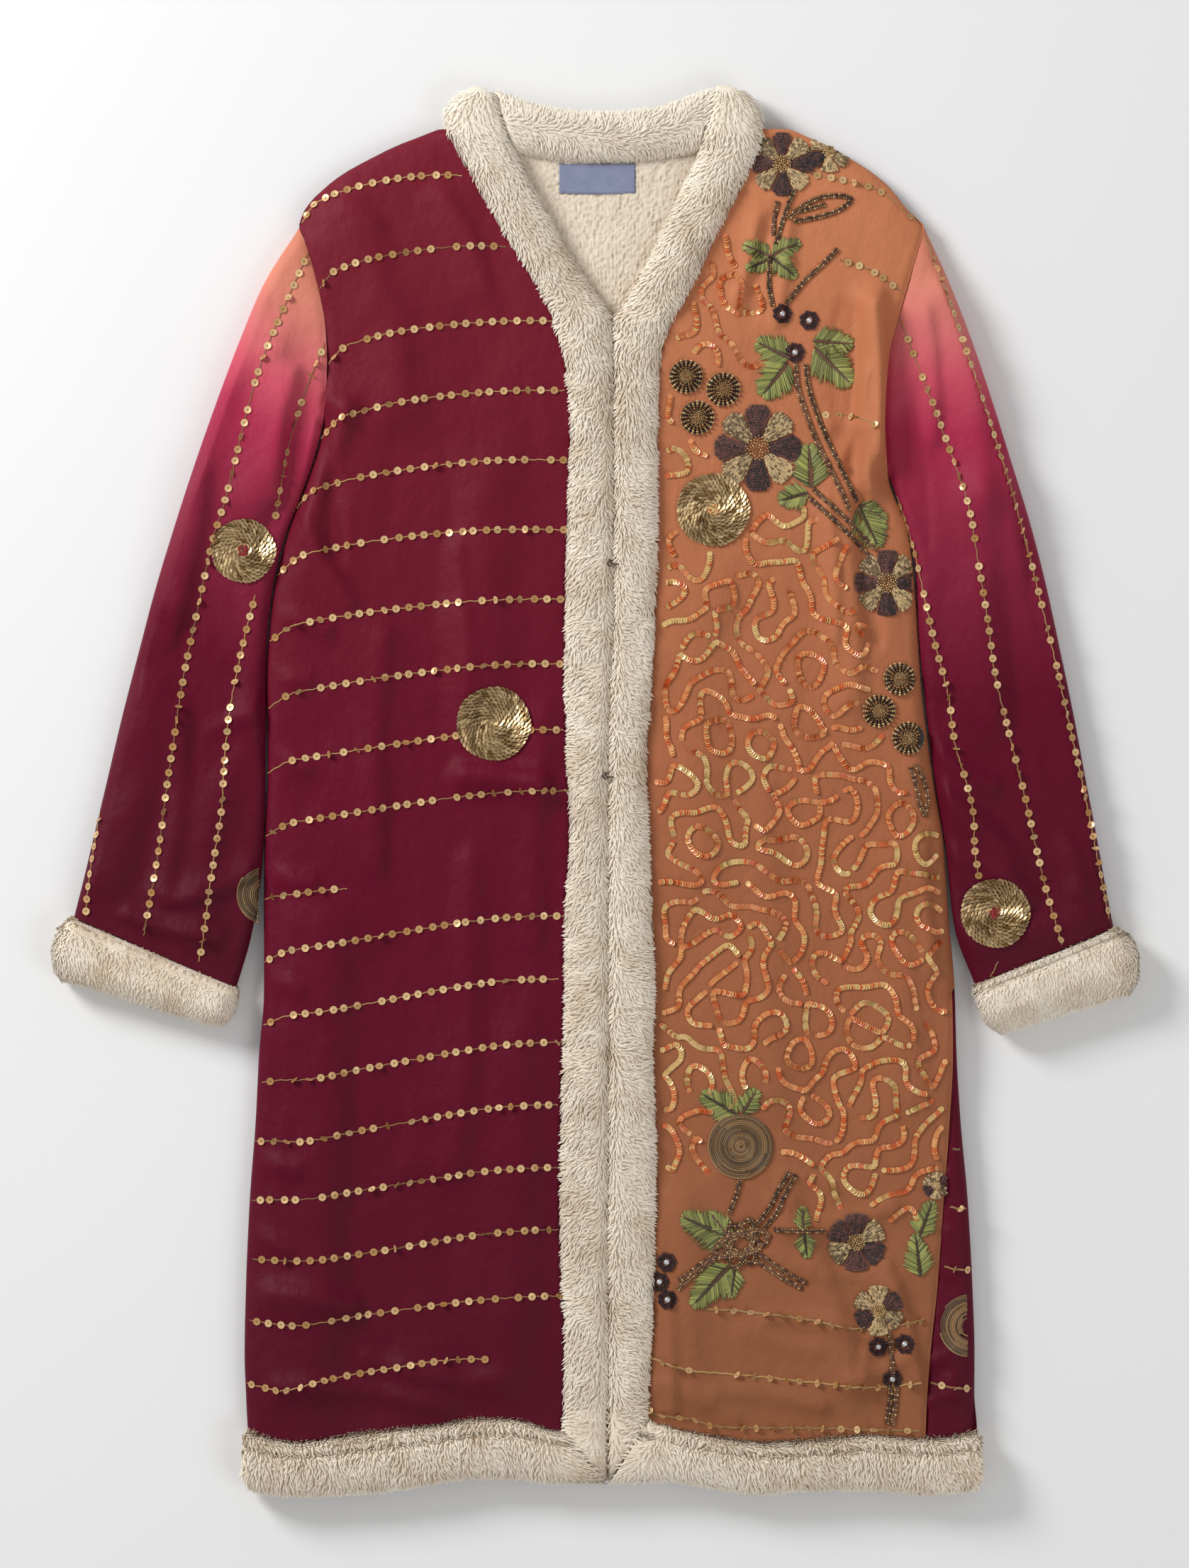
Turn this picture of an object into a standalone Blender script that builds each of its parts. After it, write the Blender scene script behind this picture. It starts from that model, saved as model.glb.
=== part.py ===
"""Fur-lined coat, laid flat on its back with the fronts closed.

X runs across the coat to the wearer's left, Y runs up to the neck and Z is up
from the table. The origin is under the middle of the coat, on the table.

Two layers lie on each other. The back and its hem trim lie on the table. The
fronts, the front bands, the hem trims, the turned side and the neck lining
lie on them. Sleeves and cuffs are flattened tubes beside the body. Tables
hold one row for each section, in millimetres.
"""
import math
from collections import namedtuple

import bmesh
import bpy
from mathutils import Vector
from mathutils.bvhtree import BVHTree

MM = 0.001

# Driving sizes in millimetres.
GAP = 0.3            # space left at a seam
SIDE_GAP = 0.8       # space between a sleeve and the side of the body
WALL = 9.0           # silk, interlining and pile lining together
LOFT = 2.6           # height at which the upper wall floats on the lower one
EDGE_ROUND = 10.0    # radius of a folded edge
EDGE_LIP = 2.0       # height of the cut edge at a side seam
EDGE_EASE = 25.0     # distance from the outline over which the loft starts
BACK_LIFT = 3.5      # height of the back's side edges off the table
FUR_HEIGHT = 23.0    # front bands, hem and neck fur, above what they lie on
LINING_WALL = 4.0    # pile lining that shows in the neck
SLEEVE_SLIT = 2.6    # space left inside a flat sleeve
CUFF_FLOOR = 13.0    # fur under the slit of a cuff
CUFF_SLIT = 3.0
MOTIF_GAP = 0.8      # a stiff sequin motif rides on the highest cloth near it
MOTIF_REACH = 4.0
WIRE = 1.2           # fur hooks
UPPER = WALL + GAP   # height of the seat of the upper layer
SLANT_GAP = 0.7 * GAP  # each side's share of the space at a slanting seam

# Sections of the body. out is the outline (shoulder, armhole, side), edge is
# the seam of front and fur band, neck is the inner edge of the band.
Section = namedtuple("Section", "y out_r edge_r neck_r neck_l edge_l out_l")
SECTIONS = [
    Section(526.0, -127.0, -119.0, -71.1, 87.0, 132.5, 157.0),
    Section(511.0, -164.0, -110.6, -66.6, 84.6, 129.8, 190.0),
    Section(484.0, -211.0, -95.0, -52.5, 73.2, 117.0, 230.5),
    Section(460.0, -233.0, -81.5, -41.0, 61.0, 104.5, 251.0),
    Section(448.0, -236.5, -74.5, -34.3, 55.5, 98.0, 262.3),
    Section(437.5, -231.5, -68.5, -28.5, 51.0, 93.0, 259.1),
    Section(412.0, -223.5, -53.0, -13.0, 38.5, 81.5, 251.5),
    Section(386.5, -217.5, -38.0, 3.7, 24.5, 68.0, 244.2),
    Section(373.0, -215.2, -33.0, 13.5, 13.5, 60.5, 240.7),
    Section(341.5, -213.5, -24.5, 14.0, 14.0, 51.8, 232.8),
    Section(290.5, -217.0, -19.0, 14.3, 14.3, 49.0, 229.4),
    Section(248.5, -229.0, -20.0, 14.5, 14.5, 48.2, 233.5),
    Section(204.5, -245.5, -21.5, 14.2, 14.2, 47.8, 249.5),
    Section(154.0, -257.5, -22.5, 14.0, 14.0, 47.2, 255.2),
    Section(87.0, -262.5, -23.5, 12.5, 12.5, 43.5, 259.5),
    Section(14.0, -261.5, -21.0, 10.3, 10.3, 39.2, 268.5),
    Section(-42.0, -264.0, -19.5, 10.0, 10.0, 41.5, 277.5),
    Section(-100.0, -264.5, -23.0, 10.0, 10.0, 43.3, 281.5),
    Section(-161.0, -264.5, -23.5, 10.3, 10.3, 45.5, 286.5),
    Section(-212.0, -268.5, -24.8, 10.4, 10.4, 44.0, 288.0),
    Section(-262.0, -271.0, -26.5, 10.2, 10.2, 46.0, 291.0),
    Section(-330.0, -276.0, -27.5, 10.0, 10.0, 47.0, 297.0),
    Section(-400.0, -279.0, -25.3, 10.0, 10.0, 45.5, 300.8),
    Section(-450.0, -280.0, -24.0, 10.0, 10.0, 43.5, 302.3),
    Section(-490.0, -278.5, -24.8, 9.8, 9.8, 41.0, 302.0),
]
SHOULDER_Y = 448.0         # height of both shoulder tips
UNDERARM_Y_R = 290.5
UNDERARM_Y_L = 248.5

# The side seam of the wearer's left, where the back turns over on the front.
Seam = namedtuple("Seam", "y x")
TURNED_SEAM = [
    Seam(-161.0, 284.0), Seam(-212.0, 284.5), Seam(-262.0, 282.0), Seam(-330.0, 277.0),
    Seam(-400.0, 272.0), Seam(-450.0, 266.5), Seam(-490.0, 263.5), Seam(-517.5, 262.5),
]

# The hem, from the wearer's right to the left: where cloth ends and fur ends.
Hem = namedtuple("Hem", "x top end")
HEM = [
    Hem(-277.0, -512.5, -556.0), Hem(-240.0, -520.0, -561.0), Hem(-200.0, -515.0, -560.0),
    Hem(-156.0, -510.0, -556.0), Hem(-123.0, -506.0, -549.5), Hem(-91.0, -501.5, -546.5),
    Hem(-62.0, -502.5, -547.0), Hem(-26.5, -511.5, -553.0), Hem(9.6, -511.0, -552.0),
    Hem(40.5, -504.0, -548.0), Hem(75.0, -511.5, -551.5), Hem(101.0, -516.5, -556.5),
    Hem(133.0, -520.5, -559.0), Hem(180.0, -518.0, -556.0), Hem(222.0, -514.0, -556.0),
    Hem(262.5, -517.5, -560.0), Hem(304.0, -513.0, -556.0),
]
HEM_R, EDGE_HEM_R, EDGE_HEM_L, HEM_L = -277.0, -26.5, 40.5, 304.0
CENTRE_HEM = (9.6, -550.5)
SIDE_END_R = ((-281.5, -522.0), (-282.0, -546.0))
SIDE_END_L = ((307.5, -523.0), (307.0, -548.0))

# The back of the neck: seam of lining and neck fur, and the upper edge.
Neck = namedtuple("Neck", "seam_x seam_y top_x top_y")
NECK = [
    Neck(-64.8, 508.0, -80.5, 556.5), Neck(-28.0, 503.0, -38.0, 542.5),
    Neck(10.0, 501.5, 10.0, 538.5), Neck(47.0, 504.0, 55.0, 544.5),
    Neck(84.0, 510.5, 92.0, 557.5),
]

# Heads of the front bands, above the shoulders.
Head = namedtuple("Head", "y outer inner")
HEAD_R = [Head(559.5, -100.0, -89.0), Head(552.5, -110.0, -79.3), Head(541.5, -119.0, -75.9)]
HEAD_L = [Head(560.5, 109.0, 96.0), Head(552.5, 122.0, 91.2), Head(541.5, 131.0, 89.4)]

# Rings of the sleeves, from the armhole to the cuff, fold to fold.
Ring = namedtuple("Ring", "out_x out_y in_x in_y")
SLEEVE_R = [
    Ring(-236.5, 448.0, -217.0, 290.5), Ring(-263.8, 405.0, -217.8, 286.5),
    Ring(-283.2, 360.0, -220.5, 275.4), Ring(-301.0, 313.0, -226.0, 257.0),
    Ring(-319.0, 262.0, -235.5, 230.3), Ring(-335.5, 211.5, -248.5, 196.0),
    Ring(-351.0, 160.5, -257.5, 155.0), Ring(-364.5, 109.5, -261.8, 107.8),
    Ring(-377.5, 59.0, -262.2, 54.0), Ring(-389.5, 8.0, -262.6, -6.0),
    Ring(-399.0, -32.0, -265.0, -58.0), Ring(-408.0, -70.0, -273.0, -113.0),
    Ring(-416.0, -101.5, -285.5, -157.5),
]
SLEEVE_L = [
    Ring(262.3, 448.0, 233.5, 248.5), Ring(282.0, 405.0, 234.4, 246.0),
    Ring(299.5, 360.0, 237.2, 238.4), Ring(315.5, 313.0, 242.4, 224.9),
    Ring(331.5, 262.0, 249.6, 203.5), Ring(347.0, 211.5, 254.2, 176.0),
    Ring(360.0, 160.5, 255.8, 141.0), Ring(371.0, 109.5, 258.8, 99.8),
    Ring(381.5, 59.0, 264.0, 52.0), Ring(391.0, 8.0, 271.0, -2.7),
    Ring(399.5, -36.0, 277.9, -43.5), Ring(407.0, -78.0, 285.5, -110.0),
    Ring(413.0, -109.5, 301.5, -155.0),
]

# Sections of the cuffs, with the height of the fur.
Cuff = namedtuple("Cuff", "out_x out_y in_x in_y height")
CUFF_R = [
    Cuff(-418.0, -102.0, -284.5, -158.5, 31.0), Cuff(-428.0, -114.0, -285.0, -168.0, 36.5),
    Cuff(-432.0, -130.0, -288.0, -177.5, 37.5), Cuff(-431.0, -142.0, -293.5, -185.0, 34.0),
    Cuff(-426.5, -150.0, -300.0, -188.5, 27.0),
]
CUFF_L = [
    Cuff(415.0, -110.0, 300.5, -156.0, 31.0), Cuff(425.5, -118.0, 303.0, -168.0, 36.5),
    Cuff(431.0, -132.0, 307.0, -179.0, 37.5), Cuff(431.5, -148.0, 313.5, -188.0, 34.0),
    Cuff(426.0, -161.5, 321.5, -193.5, 27.0),
]

# The largest folds, as soft ridges (or troughs) along a line.
Crease = namedtuple("Crease", "x0 y0 x1 y1 width height")
CREASES_RIGHT = [
    Crease(-203.0, 300.0, -243.0, 205.0, 15.0, 4.5),
    Crease(-192.0, 440.0, -158.0, 310.0, 24.0, 2.6),
    Crease(-135.0, 262.0, -135.0, -77.0, 30.0, -2.2),
    Crease(-80.0, 250.0, -88.0, 80.0, 26.0, 2.2),
    Crease(-105.0, 12.0, -45.0, 5.0, 11.0, 2.6),
    Crease(-215.0, -110.0, -226.0, -470.0, 24.0, 2.8),
    Crease(-163.0, -150.0, -176.0, -480.0, 26.0, -2.2),
    Crease(-268.0, -402.0, -196.0, -410.0, 12.0, 2.2),
    Crease(-62.0, -200.0, -70.0, -470.0, 20.0, 2.0),
]
CREASES_LEFT = [
    Crease(221.0, 385.0, 223.0, 245.0, 12.0, 5.0),
    Crease(204.0, 380.0, 206.0, 250.0, 9.0, -2.4),
    Crease(196.0, 240.0, 203.0, 70.0, 14.0, 2.6),
    Crease(90.0, 150.0, 84.0, -60.0, 24.0, 2.0),
    Crease(128.0, -40.0, 133.0, -230.0, 28.0, 2.0),
    Crease(240.0, -60.0, 250.0, -240.0, 22.0, 2.4),
    Crease(152.0, -330.0, 205.0, -475.0, 14.0, 3.0),
    Crease(70.0, -330.0, 76.0, -480.0, 20.0, 2.2),
]
CREASES_SLEEVE_R = [
    Crease(-257.0, 347.0, -272.0, 234.0, 20.0, 3.4),
    Crease(-290.0, 330.0, -335.0, 150.0, 18.0, 2.4),
    Crease(-300.0, 160.0, -310.0, 10.0, 22.0, -2.0),
    Crease(-355.0, 70.0, -385.0, -70.0, 20.0, 2.6),
    Crease(-300.0, 0.0, -318.0, -110.0, 20.0, 2.6),
]
CREASES_SLEEVE_L = [
    Crease(280.0, 392.0, 308.0, 234.0, 16.0, 3.4),
    Crease(308.0, 234.0, 318.0, 64.0, 18.0, 3.0),
    Crease(345.0, 150.0, 370.0, -20.0, 20.0, -2.0),
    Crease(281.0, -10.0, 330.0, -60.0, 14.0, 2.8),
    Crease(300.0, -118.0, 385.0, -105.0, 14.0, 2.6),
]

# Cross-section of a fur roll: how far across, how far up.
ROLL = [
    (0.0, 0.0), (0.0, 0.36), (0.05, 0.70), (0.18, 0.91), (0.38, 1.0),
    (0.63, 1.0), (0.84, 0.92), (0.96, 0.70), (1.0, 0.36), (1.0, 0.0),
]
FLAT_FUR = [(0.0, 0.0), (0.0, 1.0), (0.92, 1.0), (1.0, 0.55), (0.93, 0.0)]

# Raised sequin motifs: host solid, centre, radius, petals (0 is a disc), how
# far they rise, and the range of x that they may cover.
Motif = namedtuple("Motif", "name host x y radius petals rise low high")
FAR = 999.0
MOTIFS = [
    Motif("disc_front_right", "front_right", -81.0, 52.5, 29.0, 0, 2.6, -FAR, FAR),
    Motif("disc_sleeve_right_upper", "sleeve_right", -280.0, 190.0, 25.0, 0, 2.6, -FAR, -256.0),
    Motif("disc_sleeve_right_lower", "sleeve_right", -278.0, -82.0, 22.0, 0, 2.2, -288.0, -275.0),
    Motif("disc_sleeve_left", "sleeve_left", 318.0, -98.0, 27.0, 0, 2.6, 291.0, FAR),
    Motif("disc_chest", "front_left", 93.5, 222.5, 28.5, 0, 2.6, -FAR, FAR),
    Motif("disc_skirt", "front_left", 115.5, -283.5, 27.0, 0, 2.4, -FAR, FAR),
    Motif("disc_back", "back_turned", 298.0, -427.0, 26.0, 0, 2.2, -FAR, 292.0),
    Motif("flower_shoulder", "front_left", 148.5, 498.0, 22.0, 8, 3.0, 129.5, FAR),
    Motif("flower_chest", "front_left", 129.0, 272.0, 31.0, 8, 3.4, -FAR, FAR),
    Motif("flower_side", "front_left", 232.0, 164.5, 27.0, 8, 3.0, -FAR, 250.5),
    Motif("flower_skirt", "front_left", 207.5, -360.0, 24.0, 6, 3.0, -FAR, FAR),
    Motif("flower_cluster", "front_left", 225.0, -414.0, 20.0, 6, 3.0, -FAR, FAR),
    Motif("rosette_chest_a", "front_left", 72.0, 328.5, 14.0, 0, 4.0, -FAR, FAR),
    Motif("rosette_chest_b", "front_left", 101.5, 318.5, 14.0, 0, 4.0, -FAR, FAR),
    Motif("rosette_chest_c", "front_left", 81.0, 296.0, 14.0, 0, 4.0, -FAR, FAR),
    Motif("rosette_side_a", "front_left", 242.0, 88.0, 13.5, 0, 4.0, -FAR, FAR),
    Motif("rosette_side_b", "front_left", 225.5, 62.5, 13.5, 0, 4.0, -FAR, FAR),
    Motif("rosette_side_c", "front_left", 249.0, 41.0, 13.5, 0, 4.0, -FAR, FAR),
]
PETAL_DEPTH = 0.2          # share of the radius that a petal's notch takes
ROSETTE_RADIUS = 15.0      # motifs below this radius have fewer facets

LABEL_CENTRE = (1.5, 487.5)
LABEL_SIZE = (61.0, 24.0, 1.2)
HOOKS = {"hook_upper": 180.0, "hook_lower": 11.0}
HOOK_EYE = 2.4
HOOK_SHANK = 4.2

# Colour, roughness and metallic value of each material.
FINISHES = {
    "maroon_silk": ((0.14, 0.012, 0.028), 0.45, 0.0),
    "orange_silk": ((0.40, 0.13, 0.05), 0.45, 0.0),
    "ombre_silk": ((0.28, 0.04, 0.07), 0.45, 0.0),
    "cream_fur": ((0.67, 0.56, 0.47), 0.9, 0.0),
    "pile_lining": ((0.55, 0.42, 0.30), 0.95, 0.0),
    "label_cloth": ((0.25, 0.27, 0.38), 0.8, 0.0),
    "gold_sequins": ((0.62, 0.38, 0.14), 0.3, 0.7),
    "hook_metal": ((0.35, 0.34, 0.33), 0.3, 1.0),
}


def finish(name):
    """The material of that name, made on first use."""
    found = bpy.data.materials.get(name)
    if found:
        return found
    colour, roughness, metallic = FINISHES[name]
    made = bpy.data.materials.new(name)
    made.use_nodes = True
    shader = made.node_tree.nodes["Principled BSDF"]
    shader.inputs["Base Color"].default_value = (*colour, 1.0)
    shader.inputs["Roughness"].default_value = roughness
    shader.inputs["Metallic"].default_value = metallic
    return made


def point(x, y, z):
    """A point given in millimetres."""
    return Vector((x, y, z)) * MM


def solid(name, points, faces, material):
    """A closed solid with its faces turned outwards, in the coat's collection."""
    mesh = bpy.data.meshes.new(name)
    mesh.from_pydata([tuple(p) for p in points], [], faces)
    shell = bmesh.new()
    shell.from_mesh(mesh)
    bmesh.ops.recalc_face_normals(shell, faces=shell.faces)
    shell.to_mesh(mesh)
    shell.free()
    mesh.shade_smooth()
    mesh.set_sharp_from_angle(angle=math.radians(40.0))
    mesh.materials.append(finish(material))
    made = bpy.data.objects.new(name, mesh)
    bpy.data.collections["coat"].objects.link(made)
    return made


def grid_faces(rows, columns, start=0, wrap=False):
    """Four-sided faces of a grid of points; wrap joins its two long sides."""
    faces = []
    for i in range(rows - 1):
        for j in range(columns if wrap else columns - 1):
            near = start + i * columns
            far = near + columns
            k = (j + 1) % columns
            faces.append((near + j, near + k, far + k, far + j))
    return faces


def slab(name, upper, lower, material):
    """A wall between two like grids of points, closed round its border."""
    rows, columns = len(upper), len(upper[0])
    count = rows * columns
    points = [p for row in upper for p in row] + [p for row in lower for p in row]
    faces = grid_faces(rows, columns) + grid_faces(rows, columns, start=count)
    border = list(range(columns))
    border += [i * columns + columns - 1 for i in range(1, rows)]
    border += [(rows - 1) * columns + j for j in range(columns - 2, -1, -1)]
    border += [i * columns for i in range(rows - 2, 0, -1)]
    for a, b in zip(border, border[1:] + border[:1]):
        faces.append((a, b, b + count, a + count))
    return solid(name, points, faces, material)


def tube(name, outer, inner, material):
    """A wall between two like stacks of rings, open through and closed at its ends."""
    rings, around = len(outer), len(outer[0])
    count = rings * around
    points = [p for ring in outer for p in ring] + [p for ring in inner for p in ring]
    faces = grid_faces(rings, around, wrap=True)
    faces += grid_faces(rings, around, start=count, wrap=True)
    for first in (0, count - around):
        for k in range(around):
            a, b = first + k, first + (k + 1) % around
            faces.append((a, b, b + count, a + count))
    return solid(name, points, faces, material)


def roll(name, rings, material):
    """A solid lofted through rings, closed by the first and the last one."""
    around = len(rings[0])
    points = [p for ring in rings for p in ring]
    faces = grid_faces(len(rings), around, wrap=True)
    faces.append(tuple(range(around)))
    faces.append(tuple(range(len(points) - around, len(points))))
    return solid(name, points, faces, material)


def section_ring(start, end, low, height, profile):
    """A profile stood on the line from start to end."""
    return [
        point(start[0] + (end[0] - start[0]) * across,
              start[1] + (end[1] - start[1]) * across, low + height * up)
        for across, up in profile
    ]


def read(rows, key, value, at):
    """Straight reading between the rows of a table."""
    ordered = sorted(rows, key=lambda row: getattr(row, key))
    for low, high in zip(ordered, ordered[1:]):
        if at <= getattr(high, key):
            break
    span = getattr(high, key) - getattr(low, key)
    share = min(max((at - getattr(low, key)) / span, 0.0), 1.0)
    return getattr(low, value) + share * (getattr(high, value) - getattr(low, value))


def quarter(distance):
    """Height of a rounded edge, 0 at the edge and 1 from its radius inwards."""
    inset = 1.0 - min(distance / EDGE_ROUND, 1.0)
    return math.sqrt(1.0 - inset * inset)


def crease_height(x, y, creases):
    """Sum of bell-shaped ridges, each along its own line."""
    total = 0.0
    for c in creases:
        run_x, run_y = c.x1 - c.x0, c.y1 - c.y0
        along = ((x - c.x0) * run_x + (y - c.y0) * run_y) / (run_x ** 2 + run_y ** 2)
        along = min(max(along, 0.0), 1.0)
        away = math.hypot(x - c.x0 - along * run_x, y - c.y0 - along * run_y)
        total += c.height * math.exp(-(away / c.width) ** 2)
    return total


def edge_steps(width):
    """Distances from the outline: close steps over the fold, then even ones."""
    folded = [0.0, 3.0, 8.0, 17.0]
    even = 8
    shrink = min(1.0, width / 60.0)
    steps = [d * shrink for d in folded]
    rest = width - steps[-1]
    return steps + [steps[-1] + rest * k / even for k in range(1, even + 1)]


def hem_stations(sign, hem_out, hem_edge):
    """Places along the hem that the last row of a front uses, without its edge."""
    width = abs(hem_out - hem_edge) - SLANT_GAP
    return [hem_out - sign * d for d in edge_steps(width)][:-1]


def turned_stations(in_x, out_x):
    """Places across the turned side, closer towards its fold."""
    return [in_x + (out_x - in_x) * share for share in (0.0, 0.35, 0.65, 0.85, 0.95, 1.0)]


def slant(rows, index, field):
    """How much of a level distance counts square to a slanting outline."""
    before = rows[max(index - 1, 0)]
    after = rows[min(index + 1, len(rows) - 1)]
    rise = before.y - after.y
    return abs(rise) / math.hypot(rise, getattr(before, field) - getattr(after, field))


def front(name, sign, out_at, edge_at, underarm, hem_out, hem_edge, creases, material):
    """A front: each row runs from the outline or seam to the fur band."""
    rows = []
    for i, s in enumerate(SECTIONS):
        out_x, edge_x = out_at(s), edge_at(s) + sign * SLANT_GAP
        folded = s.y > SHOULDER_Y or s.y < underarm
        width = abs(out_x - edge_x)
        square = slant(SECTIONS, i, "out_r" if sign < 0 else "out_l")
        rows.append([(out_x - sign * d, s.y, d * square, folded) for d in edge_steps(width)])
    width = abs(hem_out - hem_edge) - SLANT_GAP
    last = []
    for d in edge_steps(width):
        x = hem_out - sign * d
        last.append((x, read(HEM, "x", "top", x) + GAP * 0.5, d, True))
    rows.append(last)
    upper, lower = [], []
    for row in rows:
        lower_row, upper_row = [], []
        for x, y, away, folded in row:
            ease = min(away / EDGE_EASE, 1.0) if folded else 1.0
            low = UPPER + max(0.0, LOFT + crease_height(x, y, creases)) * ease
            full = EDGE_LIP + (WALL - EDGE_LIP) * (quarter(away) if folded else 1.0)
            lower_row.append(point(x, y, low))
            upper_row.append(point(x, y, low + full))
        lower.append(lower_row)
        upper.append(upper_row)
    return slab(name, upper, lower, material)


def turned_side():
    """The strip of the back that turns over on the front, seam to fold."""
    upper, lower = [], []
    for seam in TURNED_SEAM:
        at_hem = seam is TURNED_SEAM[-1]
        out_x = HEM_L if at_hem else read(SECTIONS, "y", "out_l", seam.y)
        in_x = seam.x + GAP
        upper_row, lower_row = [], []
        for x in turned_stations(in_x, out_x):
            y = read(HEM, "x", "top", x) + GAP * 0.5 if at_hem else seam.y
            away = out_x - x
            low = UPPER + LOFT * min(away / EDGE_EASE, 1.0)
            lower_row.append(point(x, y, low))
            upper_row.append(point(x, y, low + EDGE_LIP + (WALL - EDGE_LIP) * quarter(away)))
        upper.append(upper_row)
        lower.append(lower_row)
    return slab("back_turned", upper, lower, "maroon_silk")


def back_columns():
    """Places across the back, from 0 to 1, that meet the neck's own sections."""
    first, last = SECTIONS[3].out_r, SECTIONS[3].out_l
    shoulder_r = [SECTIONS[3].out_r, SECTIONS[2].out_r, SECTIONS[1].out_r, SECTIONS[0].out_r]
    shoulder_l = [SECTIONS[0].out_l, SECTIONS[1].out_l, SECTIONS[2].out_l, SECTIONS[3].out_l]
    across = shoulder_r + [n.seam_x for n in NECK] + shoulder_l
    return [(x - first) / (last - first) for x in across]


def back():
    """The back: level rows up to the shoulder tips, then a row along the
    shoulders and the neck seam, with one between."""
    shares = back_columns()
    tops = [(s.out_r, s.y) for s in SECTIONS[3::-1]]
    tops += [(n.seam_x, n.seam_y - GAP) for n in NECK]
    tops += [(s.out_l, s.y) for s in SECTIONS[:4]]
    level = SECTIONS[4]
    tips = [(level.out_r + (level.out_l - level.out_r) * s, level.y) for s in shares]
    middle = [((a[0] + b[0]) / 2, (a[1] + b[1]) / 2) for a, b in zip(tops, tips)]
    rows = [tops, middle]
    for s in SECTIONS[4:]:
        rows.append([(s.out_r + (s.out_l - s.out_r) * share, s.y) for share in shares])
    last = [HEM_R + (HEM_L - HEM_R) * share for share in shares]
    rows.append([(x, read(HEM, "x", "top", x) + GAP * 0.5) for x in last])
    upper = [[point(x, y, WALL) for x, y in row] for row in rows]
    lower = []
    for row in rows:
        lifted = [BACK_LIFT] + [0.0] * (len(row) - 2) + [BACK_LIFT]
        lower.append([point(x, y, z) for (x, y), z in zip(row, lifted)])
    return slab("back", upper, lower, "maroon_silk")


def armhole(side):
    """The seam line of an armhole, from the shoulder tip to the underarm."""
    underarm = UNDERARM_Y_R if side == "r" else UNDERARM_Y_L
    return [(getattr(s, "out_" + side), s.y) for s in SECTIONS if underarm <= s.y <= SHOULDER_Y]


def along_line(line, share):
    """The point at that share of a line's length."""
    lengths = [math.dist(a, b) for a, b in zip(line, line[1:])]
    left = share * sum(lengths)
    for (a, b), length in zip(zip(line, line[1:]), lengths):
        if left <= length:
            break
        left -= length
    part = min(left / length, 1.0)
    return a[0] + (b[0] - a[0]) * part, a[1] + (b[1] - a[1]) * part


def flat_ring(start, end, bulge, height, floor, slit, creases):
    """Outer and inner ring of a flattened tube, from one fold to the other."""
    width = math.dist(start, end)
    radius = min(height, 2.2 * EDGE_ROUND) / 2
    top = [0.0, 0.3 * radius, radius, 0.26 * width, 0.42 * width, 0.58 * width, 0.74 * width]
    top += [width - radius, width - 0.3 * radius, width]
    under = [width - 0.4 * radius, width - 1.4 * radius, 0.66 * width, 0.34 * width]
    under += [1.4 * radius, 0.4 * radius]
    middle = floor + slit / 2
    outer, inner = [], []
    for d, is_top in [(d, True) for d in top] + [(d, False) for d in under]:
        share = d / width
        swell = bulge(share)
        x = start[0] + (end[0] - start[0]) * share + swell[0]
        y = start[1] + (end[1] - start[1]) * share + swell[1]
        near = min(d, width - d) / radius
        inset = 1.0 - min(near, 1.0)
        curve = math.sqrt(1.0 - inset * inset)
        lift = max(-1.4, crease_height(x, y, creases)) if is_top else 0.0
        full = height + lift * curve if is_top else 0.0
        outer.append(point(x, y, middle + (full - middle) * curve))
        wall = min(floor / width, 0.2)
        within = wall + (1.0 - 2.0 * wall) * share
        swell = bulge(within)
        x = start[0] + (end[0] - start[0]) * within + swell[0]
        y = start[1] + (end[1] - start[1]) * within + swell[1]
        pile = slit / 2 + lift * 0.8 * curve if is_top else -slit / 2
        inner.append(point(x, y, middle + pile * max(curve, 0.02)))
    return outer, inner


def sleeve(name, side, sign, sections, creases):
    """A sleeve: its first ring follows the armhole, the last one is straight."""
    seam = armhole(side)
    outer, inner = [], []
    count = len(sections) - 1
    for i, s in enumerate(sections):
        aside = GAP if i == 0 else SIDE_GAP
        start = (s.out_x + sign * (GAP if i == 0 else 0.0), s.out_y)
        end = (s.in_x + sign * aside, s.in_y)
        fade = (1.0 - i / count) ** 5

        def bulge(share):
            x, y = along_line(seam, share)
            chord_x = seam[0][0] + (seam[-1][0] - seam[0][0]) * share
            chord_y = seam[0][1] + (seam[-1][1] - seam[0][1]) * share
            return (x - chord_x) * fade, (y - chord_y) * fade

        height = 2 * WALL + SLEEVE_SLIT
        rings = flat_ring(start, end, bulge, height, WALL, SLEEVE_SLIT, creases)
        outer.append(rings[0])
        inner.append(rings[1])
    return tube(name, outer, inner, "ombre_silk")


def cuff(name, sections):
    """A fur cuff: a fat flattened tube that swells past the sleeve's end."""
    outer, inner = [], []
    for s in sections:
        rings = flat_ring((s.out_x, s.out_y), (s.in_x, s.in_y), lambda share: (0.0, 0.0),
                          s.height, CUFF_FLOOR, CUFF_SLIT, [])
        outer.append(rings[0])
        inner.append(rings[1])
    return tube(name, outer, inner, "cream_fur")


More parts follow.
